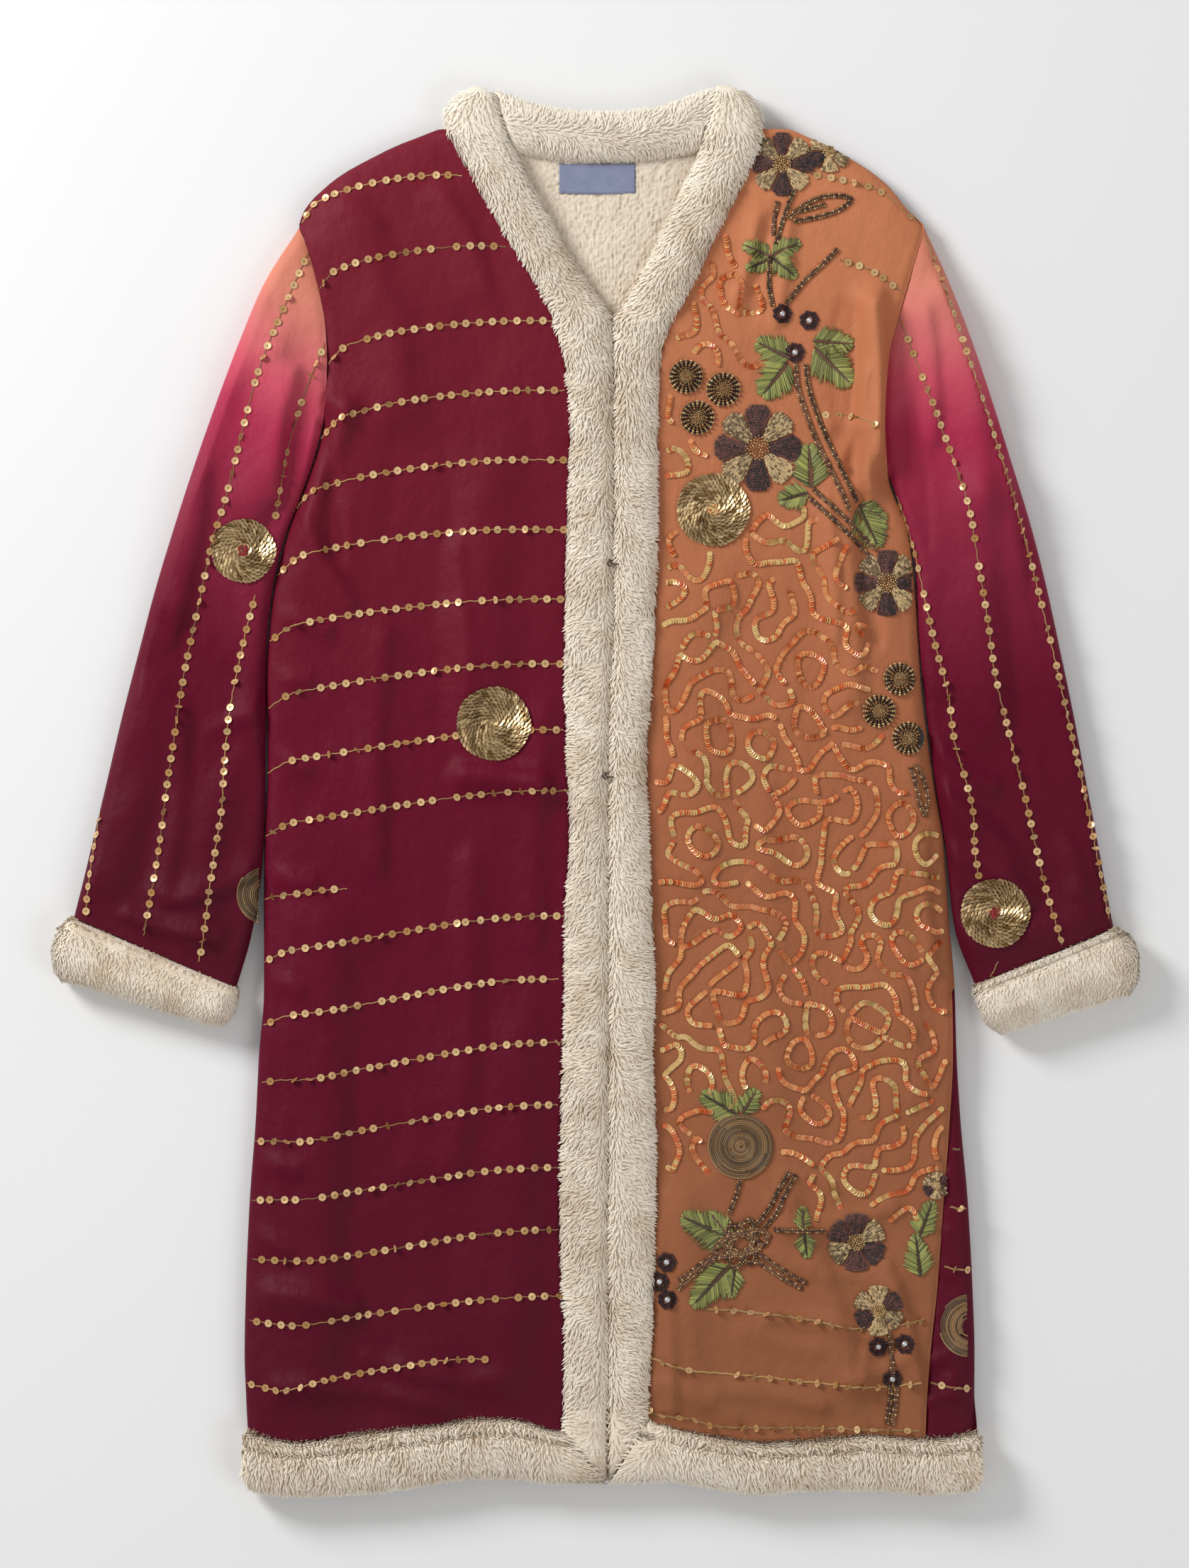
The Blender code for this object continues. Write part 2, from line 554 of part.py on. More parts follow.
def band(name, side, sign, heads, hem_edge):
    """The fur band of one front edge, from its head over the shoulder to the
    mitre at the hem."""
    rings = []
    for h in heads:
        rings.append(section_ring((h.outer, h.y), (h.inner + sign * GAP, h.y),
                                  UPPER, FUR_HEIGHT * (0.75 if h is heads[0] else 0.95), ROLL))
    for s in SECTIONS:
        outer = getattr(s, "edge_" + side)
        inner = getattr(s, "neck_" + side) + sign * SLANT_GAP
        rings.append(section_ring((outer, s.y), (inner, s.y), UPPER, FUR_HEIGHT, ROLL))
    last = SECTIONS[-1]
    top = read(HEM, "x", "top", hem_edge)
    edge_x = getattr(last, "edge_" + side)
    inner_x = CENTRE_HEM[0] + sign * SLANT_GAP
    for share in (0.5, 1.0):
        outer = (edge_x + (hem_edge - edge_x) * share, last.y + (top + GAP - last.y) * share)
        inner = (inner_x, last.y + (CENTRE_HEM[1] + GAP - last.y) * share)
        rings.append(section_ring(outer, inner, UPPER, FUR_HEIGHT, ROLL))
    return roll(name, rings, "cream_fur")


def hem_trim(name, sign, stations, hem_edge, side_end):
    """The fur along the hem of one front, from the side to the mitre."""
    low, height = UPPER, FUR_HEIGHT + 1.0
    rings = [section_ring(side_end[0], side_end[1], low, height * 0.8, ROLL)]
    for x in stations:
        top, end = read(HEM, "x", "top", x) - GAP * 0.5, read(HEM, "x", "end", x)
        rings.append(section_ring((x, top), (x, end), low, height, ROLL))
    x = hem_edge + sign * GAP
    mitre = (CENTRE_HEM[0] + sign * 2.4, CENTRE_HEM[1] - 1.6)
    top = read(HEM, "x", "top", hem_edge) - GAP * 0.5
    rings.append(section_ring((x, top), mitre, low, height, ROLL))
    return roll(name, rings, "cream_fur")


def hem_back():
    """The fur along the hem of the back, pressed flat under the fronts."""
    rings = [section_ring(*SIDE_END_R, 0.0, WALL, FLAT_FUR)]
    for share in back_columns():
        x = HEM_R + (HEM_L - HEM_R) * share
        top, end = read(HEM, "x", "top", x) - GAP * 0.5, read(HEM, "x", "end", x)
        rings.append(section_ring((x, top), (x, end), 0.0, WALL, FLAT_FUR))
    rings.append(section_ring(*SIDE_END_L, 0.0, WALL, FLAT_FUR))
    return roll("hem_back", rings, "cream_fur")


def neck_band():
    """The fur at the back of the neck, on the table between the band heads."""
    rings = [
        section_ring((n.seam_x, n.seam_y), (n.top_x, n.top_y), 0.0,
                     UPPER + FUR_HEIGHT * 0.85, ROLL)
        for n in NECK
    ]
    return roll("neck_band", rings, "cream_fur")


def lining():
    """The pile lining that shows in the neck, edge to edge with the fur."""
    first, last = NECK[0], NECK[-1]
    rows = [[(n.seam_x, n.seam_y - GAP) for n in NECK]]
    rows[0][0] = (read(SECTIONS, "y", "neck_r", first.seam_y - GAP) + GAP, first.seam_y - GAP)
    rows[0][-1] = (read(SECTIONS, "y", "neck_l", last.seam_y - GAP) - GAP, last.seam_y - GAP)
    columns = len(NECK) - 1
    for s in SECTIONS[2:8]:
        left, right = s.neck_r + GAP, s.neck_l - GAP
        rows.append([(left + (right - left) * k / columns, s.y) for k in range(columns + 1)])
    upper = [[point(x, y, UPPER + LINING_WALL) for x, y in row] for row in rows]
    lower = [[point(x, y, UPPER) for x, y in row] for row in rows]
    return slab("lining", upper, lower, "pile_lining")


def label():
    """The woven label, bare, on the lining under the neck seam."""
    low = UPPER + LINING_WALL + GAP
    centre = point(*LABEL_CENTRE, low + LABEL_SIZE[2] / 2)
    bpy.ops.mesh.primitive_cube_add(size=1.0, location=centre)
    made = bpy.context.object
    made.name = made.data.name = "label"
    for v in made.data.vertices:
        v.co = Vector(v.co[k] * LABEL_SIZE[k] * MM for k in range(3))
    made.data.materials.append(finish("label_cloth"))
    for owner in list(made.users_collection):
        owner.objects.unlink(made)
    bpy.data.collections["coat"].objects.link(made)


def roll_height(across):
    """Height of the fur roll's profile at a place across it."""
    for low, high in zip(ROLL[1:-1], ROLL[2:-1]):
        if low[0] <= across <= high[0]:
            share = (across - low[0]) / (high[0] - low[0])
            return low[1] + share * (high[1] - low[1])
    return 1.0


def hook(name, y):
    """A closed fur hook: an eye on one band and the shank on the other, in
    the groove between them."""
    centre = read(SECTIONS, "y", "neck_r", y)
    width = centre - read(SECTIONS, "y", "edge_r", y)
    up = roll_height(1.0 - (2.0 * HOOK_EYE + WIRE / 2) / width)
    z = UPPER + FUR_HEIGHT * up + GAP + WIRE / 2
    turns = [math.radians(a) for a in range(30, 331, 30)]
    path = [(centre - HOOK_EYE + HOOK_EYE * math.cos(a), y + HOOK_EYE * math.sin(a)) for a in turns]
    path.append((centre + HOOK_SHANK, y - HOOK_EYE * 0.5))
    curve = bpy.data.curves.new(name, "CURVE")
    curve.dimensions = "3D"
    curve.bevel_depth = WIRE / 2 * MM
    curve.bevel_resolution = 1
    curve.use_fill_caps = True
    line = curve.splines.new("POLY")
    line.points.add(len(path) - 1)
    for knot, (x, y_at) in zip(line.points, path):
        knot.co = (*point(x, y_at, z), 1.0)
    curve.materials.append(finish("hook_metal"))
    bpy.data.collections["coat"].objects.link(bpy.data.objects.new(name, curve))


def surface(made):
    """A search tree of a solid, to lay motifs on its upper face."""
    mesh = made.data
    mesh.calc_loop_triangles()
    faces = [tuple(t.vertices) for t in mesh.loop_triangles]
    return BVHTree.FromPolygons([v.co for v in mesh.vertices], faces)


def cloth_under(tree, x, y, low, high):
    """The highest point of the cloth within a short reach of a place."""
    found = 0.0
    for across, along in ((0, 0), (1, 0), (-1, 0), (0, 1), (0, -1)):
        step_x, step_y = across * MOTIF_REACH, along * MOTIF_REACH
        above = point(min(max(x + step_x, low), high), y + step_y, 100.0)
        hit = tree.ray_cast(above, Vector((0.0, 0.0, -1.0)))[0]
        if hit:
            found = max(found, hit.z)
    return Vector((x * MM, y * MM, found))


def motif(m, tree):
    """A raised motif made from the points of the cloth under it, moved up.
    Its radius swings in and out once for each petal."""
    small = m.radius < ROSETTE_RADIUS
    around = 12 if small else (4 * m.petals if m.petals else 20)
    shares = (0.55, 1.0)
    lower, upper = [], []
    for share in (0.0,) + shares:
        for k in range(1 if share == 0.0 else around):
            angle = 2.0 * math.pi * k / around
            wave = PETAL_DEPTH * 0.5 * (1.0 - math.cos(m.petals * angle))
            reach = m.radius * share * (1.0 - wave * share)
            x = min(max(m.x + reach * math.sin(angle), m.low), m.high)
            y = m.y + reach * math.cos(angle)
            hit = cloth_under(tree, x, y, m.low, m.high)
            dome = m.rise * (1.0 - 0.45 * share ** 3)
            lower.append(hit + point(0.0, 0.0, MOTIF_GAP))
            upper.append(hit + point(0.0, 0.0, MOTIF_GAP + dome))
    count = len(lower)
    faces = []
    for start in (0, count):
        first = start + 1
        for k in range(around):
            j = (k + 1) % around
            faces.append((start, first + k, first + j))
            faces.append((first + k, first + around + k, first + around + j, first + j))
    rim = count - around
    for k in range(around):
        j = (k + 1) % around
        faces.append((rim + k, rim + j, rim + j + count, rim + k + count))
    return solid(m.name, lower + upper, faces, "gold_sequins")


def turned_or_side(s):
    """Where the wearer's left front ends: at the side, or at the turned seam."""
    if s.y > TURNED_SEAM[0].y:
        return s.out_l
    return read(TURNED_SEAM, "y", "x", s.y)


def build():
    """The whole coat."""
    for old in list(bpy.data.objects):
        bpy.data.objects.remove(old, do_unlink=True)
    coat = bpy.data.collections.new("coat")
    bpy.context.scene.collection.children.link(coat)
    hosts = {
        "front_right": front("front_right", -1.0, lambda s: s.out_r, lambda s: s.edge_r,
                             UNDERARM_Y_R, HEM_R, EDGE_HEM_R, CREASES_RIGHT,
                             "maroon_silk"),
        "front_left": front("front_left", 1.0, turned_or_side, lambda s: s.edge_l,
                            UNDERARM_Y_L, TURNED_SEAM[-1].x, EDGE_HEM_L,
                            CREASES_LEFT, "orange_silk"),
        "sleeve_right": sleeve("sleeve_right", "r", -1.0, SLEEVE_R, CREASES_SLEEVE_R),
        "sleeve_left": sleeve("sleeve_left", "l", 1.0, SLEEVE_L, CREASES_SLEEVE_L),
        "back_turned": turned_side(),
    }
    back()
    cuff("cuff_right", CUFF_R)
    cuff("cuff_left", CUFF_L)
    band("band_right", "r", -1.0, HEAD_R, EDGE_HEM_R)
    band("band_left", "l", 1.0, HEAD_L, EDGE_HEM_L)
    seam_hem = TURNED_SEAM[-1].x
    hem_trim("hem_right", -1.0, hem_stations(-1.0, HEM_R, EDGE_HEM_R), EDGE_HEM_R, SIDE_END_R)
    across = turned_stations(seam_hem + GAP, HEM_L)[::-1] + hem_stations(1.0, seam_hem, EDGE_HEM_L)
    hem_trim("hem_left", 1.0, across, EDGE_HEM_L, SIDE_END_L)
    hem_back()
    neck_band()
    lining()
    label()
    for name, y in HOOKS.items():
        hook(name, y)
    trees = {name: surface(made) for name, made in hosts.items()}
    for m in MOTIFS:
        motif(m, trees[m.host])


build()
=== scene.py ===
"""Looks of the fur-lined coat, laid out as an add-on and run as a script.

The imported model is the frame. Each cloth panel is a thin shell on the form of
its solid. Fur trim is a padded strip with a pile of tapered locks. Sequins,
beads and stitches lie on the cloth under them. X runs to the wearer's left,
Y up to the neck and Z up from the table. Tables are in millimetres, apart from
those headed as places in the photograph, which `laid` turns into millimetres.
"""
import math
from collections import namedtuple

import bpy
import numpy as np
from bpy.props import FloatProperty, FloatVectorProperty, IntProperty, PointerProperty
from bpy.types import Operator, Panel, PropertyGroup
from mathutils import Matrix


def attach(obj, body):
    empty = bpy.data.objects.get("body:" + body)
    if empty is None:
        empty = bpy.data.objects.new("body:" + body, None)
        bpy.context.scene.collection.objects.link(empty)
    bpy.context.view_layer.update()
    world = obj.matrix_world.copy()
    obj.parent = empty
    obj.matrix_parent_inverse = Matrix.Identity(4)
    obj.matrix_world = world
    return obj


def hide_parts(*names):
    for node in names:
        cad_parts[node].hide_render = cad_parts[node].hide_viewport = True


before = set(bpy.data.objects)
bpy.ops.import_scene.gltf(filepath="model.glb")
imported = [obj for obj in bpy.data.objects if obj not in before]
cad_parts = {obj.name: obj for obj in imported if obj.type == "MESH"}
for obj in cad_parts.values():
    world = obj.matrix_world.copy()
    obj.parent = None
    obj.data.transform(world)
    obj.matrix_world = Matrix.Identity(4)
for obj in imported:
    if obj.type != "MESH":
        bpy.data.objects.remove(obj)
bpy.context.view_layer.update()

bl_info = {
    "name": "Fur-lined coat",
    "version": (1, 0, 0),
    "blender": (4, 5, 0),
    "location": "View3D > Sidebar > Coat",
    "description": "Builds the looks of a fur-lined coat on its packed frame",
    "category": "Object",
}

MM = 0.001
TAU = 2.0 * math.pi
X_WAY = (1.0, 0.0, 0.0)
Y_WAY = (0.0, 1.0, 0.0)
UP_WAY = (0.0, 0.0, 1.0)

# Heights and edges, as in the solids.
UPPER = 9.3          # seat of the fronts and of the fur on the back
WALL = 9.0           # silk, interlining and pile together
LOFT = 2.6           # how far the fronts float
LIP = 2.0            # height of a cut edge
ROUND = 10.0         # radius of a folded edge
EASE = 25.0          # distance over which the loft starts
SLEEVE_MIDDLE = 10.3
FUR_HEIGHT = 23.0
LINING_TOP = 13.3
SEAM = 0.3           # gap between two parts that are sewn together
FAR = 999.0          # farther than any place on the coat

# The photograph: its middle in pixels and the size of a pixel.
PHOTO_MIDDLE = (840.0, 1114.0)
PIXEL = 0.565


def table(kind, rows):
    """A table: each row of numbers becomes a named tuple of that kind."""
    return [kind(*row) for row in rows]


# Sections of the body: outline, seam of cloth and fur band, inner edge of band.
Section = namedtuple("Section", "y out_r edge_r neck_r neck_l edge_l out_l")
SECTIONS = table(Section, [
    (526, -127, -119, -71.1, 87, 132.5, 157),
    (511, -164, -110.6, -66.6, 84.6, 129.8, 190),
    (484, -211, -95, -52.5, 73.2, 117, 230.5),
    (460, -233, -81.5, -41, 61, 104.5, 251),
    (448, -236.5, -74.5, -34.3, 55.5, 98, 262.3),
    (437.5, -231.5, -68.5, -28.5, 51, 93, 259.1),
    (412, -223.5, -53, -13, 38.5, 81.5, 251.5),
    (386.5, -217.5, -38, 3.7, 24.5, 68, 244.2),
    (373, -215.2, -33, 13.5, 13.5, 60.5, 240.7),
    (341.5, -213.5, -24.5, 14, 14, 51.8, 232.8),
    (290.5, -217, -19, 14.3, 14.3, 49, 229.4),
    (248.5, -229, -20, 14.5, 14.5, 48.2, 233.5),
    (204.5, -245.5, -21.5, 14.2, 14.2, 47.8, 249.5),
    (154, -257.5, -22.5, 14, 14, 47.2, 255.2),
    (87, -262.5, -23.5, 12.5, 12.5, 43.5, 259.5),
    (14, -261.5, -21, 10.3, 10.3, 39.2, 268.5),
    (-42, -264, -19.5, 10, 10, 41.5, 277.5),
    (-100, -264.5, -23, 10, 10, 43.3, 281.5),
    (-161, -264.5, -23.5, 10.3, 10.3, 45.5, 286.5),
    (-212, -268.5, -24.8, 10.4, 10.4, 44, 288),
    (-262, -271, -26.5, 10.2, 10.2, 46, 291),
    (-330, -276, -27.5, 10, 10, 47, 297),
    (-400, -279, -25.3, 10, 10, 45.5, 300.8),
    (-450, -280, -24, 10, 10, 43.5, 302.3),
    (-490, -278.5, -24.8, 9.8, 9.8, 41, 302),
])
SHOULDER_Y = 448.0
UNDERARM_R = 290.5
UNDERARM_L = 248.5
FIRST_LEVEL = 526.0
LAST_LEVEL = -490.0
BELOW_HEM = -520.0

Seam = namedtuple("Seam", "y x")
TURNED_SEAM = table(Seam, [
    (-161, 284), (-212, 284.5), (-262, 282), (-330, 277),
    (-400, 272), (-450, 266.5), (-490, 263.5), (-517.5, 262.5),
])

Hem = namedtuple("Hem", "x top end")
HEM = table(Hem, [
    (-277, -512.5, -556), (-240, -520, -561), (-200, -515, -560),
    (-156, -510, -556), (-123, -506, -549.5), (-91, -501.5, -546.5),
    (-62, -502.5, -547), (-26.5, -511.5, -553), (9.6, -511, -552),
    (40.5, -504, -548), (75, -511.5, -551.5), (101, -516.5, -556.5),
    (133, -520.5, -559), (180, -518, -556), (222, -514, -556),
    (262.5, -517.5, -560), (304, -513, -556),
])
HEM_R, EDGE_HEM_R, EDGE_HEM_L, HEM_L = -277.0, -26.5, 40.5, 304.0
CENTRE_HEM = (9.6, -550.5)
SIDE_END_R = ((-281.5, -522.0), (-282.0, -546.0))
SIDE_END_L = ((307.5, -523.0), (307.0, -548.0))

Neck = namedtuple("Neck", "seam_x seam_y top_x top_y")
NECK = table(Neck, [
    (-64.8, 508, -80.5, 556.5), (-28, 503, -38, 542.5),
    (10, 501.5, 10, 538.5), (47, 504, 55, 544.5),
    (84, 510.5, 92, 557.5),
])

Head = namedtuple("Head", "y outer inner")
HEAD_R = table(Head, [(559.5, -100, -89), (552.5, -110, -79.3), (541.5, -119, -75.9)])
HEAD_L = table(Head, [(560.5, 109, 96), (552.5, 122, 91.2), (541.5, 131, 89.4)])

Ring = namedtuple("Ring", "out_x out_y in_x in_y")
SLEEVE_R = table(Ring, [
    (-236.5, 448, -217, 290.5), (-263.8, 405, -217.8, 286.5),
    (-283.2, 360, -220.5, 275.4), (-301, 313, -226, 257),
    (-319, 262, -235.5, 230.3), (-335.5, 211.5, -248.5, 196),
    (-351, 160.5, -257.5, 155), (-364.5, 109.5, -261.8, 107.8),
    (-377.5, 59, -262.2, 54), (-389.5, 8, -262.6, -6),
    (-399, -32, -265, -58), (-408, -70, -273, -113),
    (-416, -101.5, -285.5, -157.5),
])
SLEEVE_L = table(Ring, [
    (262.3, 448, 233.5, 248.5), (282, 405, 234.4, 246),
    (299.5, 360, 237.2, 238.4), (315.5, 313, 242.4, 224.9),
    (331.5, 262, 249.6, 203.5), (347, 211.5, 254.2, 176),
    (360, 160.5, 255.8, 141), (371, 109.5, 258.8, 99.8),
    (381.5, 59, 264, 52), (391, 8, 271, -2.7),
    (399.5, -36, 277.9, -43.5), (407, -78, 285.5, -110),
    (413, -109.5, 301.5, -155),
])

Cuff = namedtuple("Cuff", "out_x out_y in_x in_y height")
CUFF_R = table(Cuff, [
    (-418, -102, -284.5, -158.5, 31), (-428, -114, -285, -168, 36.5),
    (-432, -130, -288, -177.5, 37.5), (-431, -142, -293.5, -185, 34),
    (-426.5, -150, -300, -188.5, 27),
])
CUFF_L = table(Cuff, [
    (415, -110, 300.5, -156, 31), (425.5, -118, 303, -168, 36.5),
    (431, -132, 307, -179, 37.5), (431.5, -148, 313.5, -188, 34),
    (426, -161.5, 321.5, -193.5, 27),
])

# Folds of the cloth: the line that each follows, how far its middle bends
# aside, its width and its height, below zero for a trough.
Fold = namedtuple("Fold", "x0 y0 x1 y1 bow width height")
FOLDS_RIGHT = table(Fold, [
    (-203, 300, -243, 205, 0, 15, 4.5),
    (-192, 440, -158, 310, 6, 24, 2.6),
    (-135, 262, -135, -77, 5, 30, -2.2),
    (-80, 250, -88, 80, -6, 26, 2.2),
    (-105, 12, -45, 5, 2, 11, 4.2),
    (-215, -110, -226, -470, 6, 24, 2.8),
    (-163, -150, -176, -480, -6, 26, -2.2),
    (-268, -402, -196, -410, 3, 12, 3.5),
    (-62, -200, -70, -470, 4, 20, 2),
    (-222, 288, -205, 190, 5, 7, -2.9),
    (-236, 232, -196, 150, -4, 8, 2.2),
    (-262, 140, -214, 128, 3, 7, 2.1),
    (-263, 96, -228, 88, -2, 6, 1.9),
    (-264, 30, -232, 18, 2, 7, 1.9),
    (-266, -60, -226, -72, -3, 7, 2.1),
    (-266, -150, -236, -158, 2, 6, 1.9),
    (-274, -290, -238, -300, -2, 7, 2.1),
    (-276, -352, -246, -366, 2, 6, 1.9),
    (-250, -474, -120, -492, 5, 8, 2.4),
    (-180, -452, -80, -470, -5, 9, 1.9),
    (-112, 190, -104, 40, 4, 10, 1.4),
    (-168, 120, -172, -60, -5, 11, 1.6),
    (-100, -60, -112, -300, 6, 12, 1.6),
    (-40, 60, -48, -120, -3, 10, 1.4),
    (-120, 470, -90, 400, 4, 12, 1.9),
    (-212, 470, -176, 452, 2, 8, 1.6),
])
FOLDS_LEFT = table(Fold, [
    (221, 385, 223, 245, 3, 12, 8),
    (204, 380, 206, 250, -2, 9, -3.8),
    (196, 240, 203, 70, 4, 14, 2.6),
    (90, 150, 84, -60, -5, 24, 2),
    (128, -40, 133, -230, 6, 28, 2),
    (240, -60, 250, -240, -4, 22, 2.4),
    (152, -330, 205, -475, 7, 14, 3),
    (70, -330, 76, -480, -3, 20, 2.2),
    (184, -385, 240, -395, 2, 5, 1.3),
    (137, -365, 172, -382, -2, 5, 1.2),
    (52, -472, 110, -498, 3, 7, 1.5),
    (214, -470, 226, -408, 3, 6, 1.5),
    (150, -308, 190, -314, 1, 4, 1.1),
    (120, -430, 176, -444, -2, 8, 1.3),
    (128, 452, 112, 388, 2, 5, 1.4),
    (140, 455, 126, 380, -2, 5, -1.4),
    (154, 452, 144, 372, 2, 5, 1.4),
    (213, 330, 196, 262, 3, 6, 2.2),
    (186, 292, 216, 288, 2, 5, 1.6),
    (184, 262, 214, 254, -2, 5, 1.6),
    (212, 236, 224, 120, -3, 6, -2.6),
    (184, 226, 190, 120, 3, 6, 1.8),
    (255, 110, 258, 10, 2, 6, 1.9),
    (262, -40, 270, -140, -2, 7, 2.1),
    (136, -420, 230, -436, 4, 7, 2.2),
    (150, -348, 236, -330, -5, 8, 1.9),
    (96, -478, 180, -490, 4, 7, 2.2),
    (200, -470, 250, -448, -3, 6, 2.1),
    (56, -400, 60, -492, 2, 6, 2.1),
    (232, -380, 256, -470, 3, 7, 2.1),
    (100, -300, 148, -338, 4, 9, 1.8),
])
FOLDS_TURNED = table(Fold, [
    (290, -240, 294, -480, 3, 9, 1.9),
    (284, -470, 300, -500, 1, 6, 1.9),
    (280, -306, 300, -298, 1, 4, 1.2),
    (274, -352, 300, -346, -1, 4, 1.2),
    (272, -392, 302, -402, 1, 5, -1.3),
    (266, -455, 300, -440, -1, 5, 1.4),
    (264, -486, 304, -478, 1, 4, 1.3),
])
FOLDS_SLEEVE_R = table(Fold, [
    (-257, 347, -272, 234, 5, 20, 3.4),
    (-290, 330, -335, 150, -6, 18, 2.4),
    (-300, 160, -310, 10, 5, 22, -2),
    (-355, 70, -385, -70, 5, 20, 2.6),
    (-300, 0, -318, -110, -4, 20, 2.6),
    (-240, 330, -252, 232, -3, 8, 2.6),
    (-234, 292, -262, 190, 4, 8, -2.4),
    (-330, 60, -345, -80, 5, 10, 1.9),
    (-276, -66, -338, -88, 4, 8, 2.2),
    (-268, 60, -306, 44, -3, 8, 1.8),
    (-312, 250, -338, 120, 4, 9, 1.6),
    (-300, -118, -372, -100, 3, 7, 1.9),
])
FOLDS_SLEEVE_L = table(Fold, [
    (280, 392, 308, 234, 5, 16, 3.4),
    (308, 234, 318, 64, -5, 18, 3),
    (345, 150, 370, -20, 5, 20, -2),
    (281, -10, 330, -60, 4, 14, 2.8),
    (300, -118, 385, -105, -4, 14, 2.6),
    (262, 380, 268, 280, 3, 8, 2.2),
    (326, 260, 350, 120, -4, 9, 1.8),
    (274, 30, 316, 4, -3, 8, 2.1),
    (284, -52, 344, -84, 4, 8, 2.2),
    (352, 20, 386, -80, 3, 10, 1.9),
    (248, 300, 262, 200, 2, 7, -2.2),
])
FOLDS_BACK = table(Fold, [
    (-180, 380, -150, 120, 8, 22, 2.4),
    (190, 360, 160, 90, -8, 20, 2.2),
    (-60, 60, -90, -330, 9, 26, 2),
    (110, 20, 140, -400, -7, 24, 2.2),
    (-200, -160, -214, -470, 6, 20, 2),
    (20, 430, 10, 250, 5, 18, 1.6),
    (226, -120, 240, -440, -5, 18, 2),
])


def laid(places):
    """Places in the photograph, in its pixels, as millimetres on the table:
    the pixel's distance from the coat's middle times the size of a pixel."""
    places = np.asarray(places, float)
    return (places - PHOTO_MIDDLE) * (PIXEL, -PIXEL)


def column(rows, name):
    """One column of a table."""
    return np.array([getattr(row, name) for row in rows])


def smooth_read(knots, values, at):
    """Smooth reading of a table: between two knots a cubic whose slopes are the
    harmonic means of the neighbouring slopes, so it never overshoots."""
    knots, values, at = (np.asarray(a, float) for a in (knots, values, at))
    if knots[0] > knots[-1]:
        knots, values = knots[::-1], values[::-1]
    step = np.diff(knots)
    rise = np.diff(values) / step
    like = rise[:-1] * rise[1:] > 0.0
    total = np.where(like, rise[:-1] + rise[1:], 1.0)
    inner = np.where(like, 2.0 * rise[:-1] * rise[1:] / total, 0.0)
    slope = np.concatenate([rise[:1], inner, rise[-1:]])
    k = np.clip(np.searchsorted(knots, at) - 1, 0, len(step) - 1)
    t = np.clip((at - knots[k]) / step[k], 0.0, 1.0)
    low = values[k] * (1.0 + 2.0 * t) + slope[k] * step[k] * t
    high = values[k + 1] * (3.0 - 2.0 * t) - slope[k + 1] * step[k] * (1.0 - t)
    return low * (1.0 - t) ** 2 + high * t ** 2


def read(rows, key, name, at):
    """One column of a table, read smoothly at these values of its key column."""
    return smooth_read(column(rows, key), column(rows, name), at)


def fold_ends(rows, at):
    """A flat tube's outer X and Y, then its inner X and Y, at these rows."""
    return [smooth_read(np.arange(len(rows)), column(rows, name), at)
            for name in ("out_x", "out_y", "in_x", "in_y")]


def lengths(line):
    """The distance along a line up to each of its points."""
    return np.concatenate([[0.0], np.cumsum(np.linalg.norm(np.diff(line, axis=0), axis=1))])


def through(points, spacing):
    """Evenly spaced points on a smooth curve through the given ones: cubic runs
    whose slope at a point is half the step between its neighbours."""
    p = np.asarray(points, float)
    if len(p) > 2:
        before = np.vstack([2.0 * p[0] - p[1], p[:-2]])
        after = np.vstack([p[2:], 2.0 * p[-1] - p[-2]])
        t = np.linspace(0.0, 1.0, 16, endpoint=False)[None, :, None]
        a, b = p[:-1, None], p[1:, None]
        slope_a, slope_b = (b - before[:, None]) / 2.0, (after[:, None] - a) / 2.0
        low = a * (1.0 + 2.0 * t) + slope_a * t
        high = b * (3.0 - 2.0 * t) - slope_b * (1.0 - t)
        p = np.vstack([(low * (1.0 - t) ** 2 + high * t ** 2).reshape(-1, p.shape[1]), p[-1:]])
    length = lengths(p)
    count = max(int(round(length[-1] / spacing)), 2) + 1
    at = np.linspace(0.0, length[-1], count)
    return np.stack([np.interp(at, length, p[:, k]) for k in range(p.shape[1])], axis=1)


def smoothstep(t):
    """A soft step from 0 to 1."""
    t = np.clip(t, 0.0, 1.0)
    return t * t * (3.0 - 2.0 * t)


def quarter(t):
    """A quarter circle: 0 at the edge, 1 from its radius inwards."""
    inset = 1.0 - np.clip(t, 0.0, 1.0)
    return np.sqrt(1.0 - inset * inset)


def cells(x, y, seed):
    """Smooth random values from 0 to 1: each corner of a unit grid has a random
    value, and between corners it is mixed by soft steps."""
    rng = np.random.default_rng(seed)
    table = rng.random((64, 64))
    i, j = np.floor(x).astype(int), np.floor(y).astype(int)
    s, t = smoothstep(x - i), smoothstep(y - j)
    a = table[i % 64, j % 64] * (1 - s) + table[(i + 1) % 64, j % 64] * s
    b = table[i % 64, (j + 1) % 64] * (1 - s) + table[(i + 1) % 64, (j + 1) % 64] * s
    return a * (1 - t) + b * t


def relief(x, y, folds):
    """Sum of soft ridges and troughs. Across its line a fold is a bell curve,
    steeper on one side. Past its ends it fades in the same way."""
    total = np.zeros_like(x)
    for f in folds:
        run_x, run_y = f.x1 - f.x0, f.y1 - f.y0
        length = math.hypot(run_x, run_y)
        along = ((x - f.x0) * run_x + (y - f.y0) * run_y) / length ** 2
        inside = np.clip(along, 0.0, 1.0)
        across = ((y - f.y0) * run_x - (x - f.x0) * run_y) / length
        across = across - f.bow * 4.0 * inside * (1.0 - inside)
        beyond = (along - inside) * length
        width = f.width * (1.0 - 0.3 * np.tanh(across / f.width))
        total += f.height * np.exp(-(across / width) ** 2 - (beyond / f.width) ** 2)
    return total


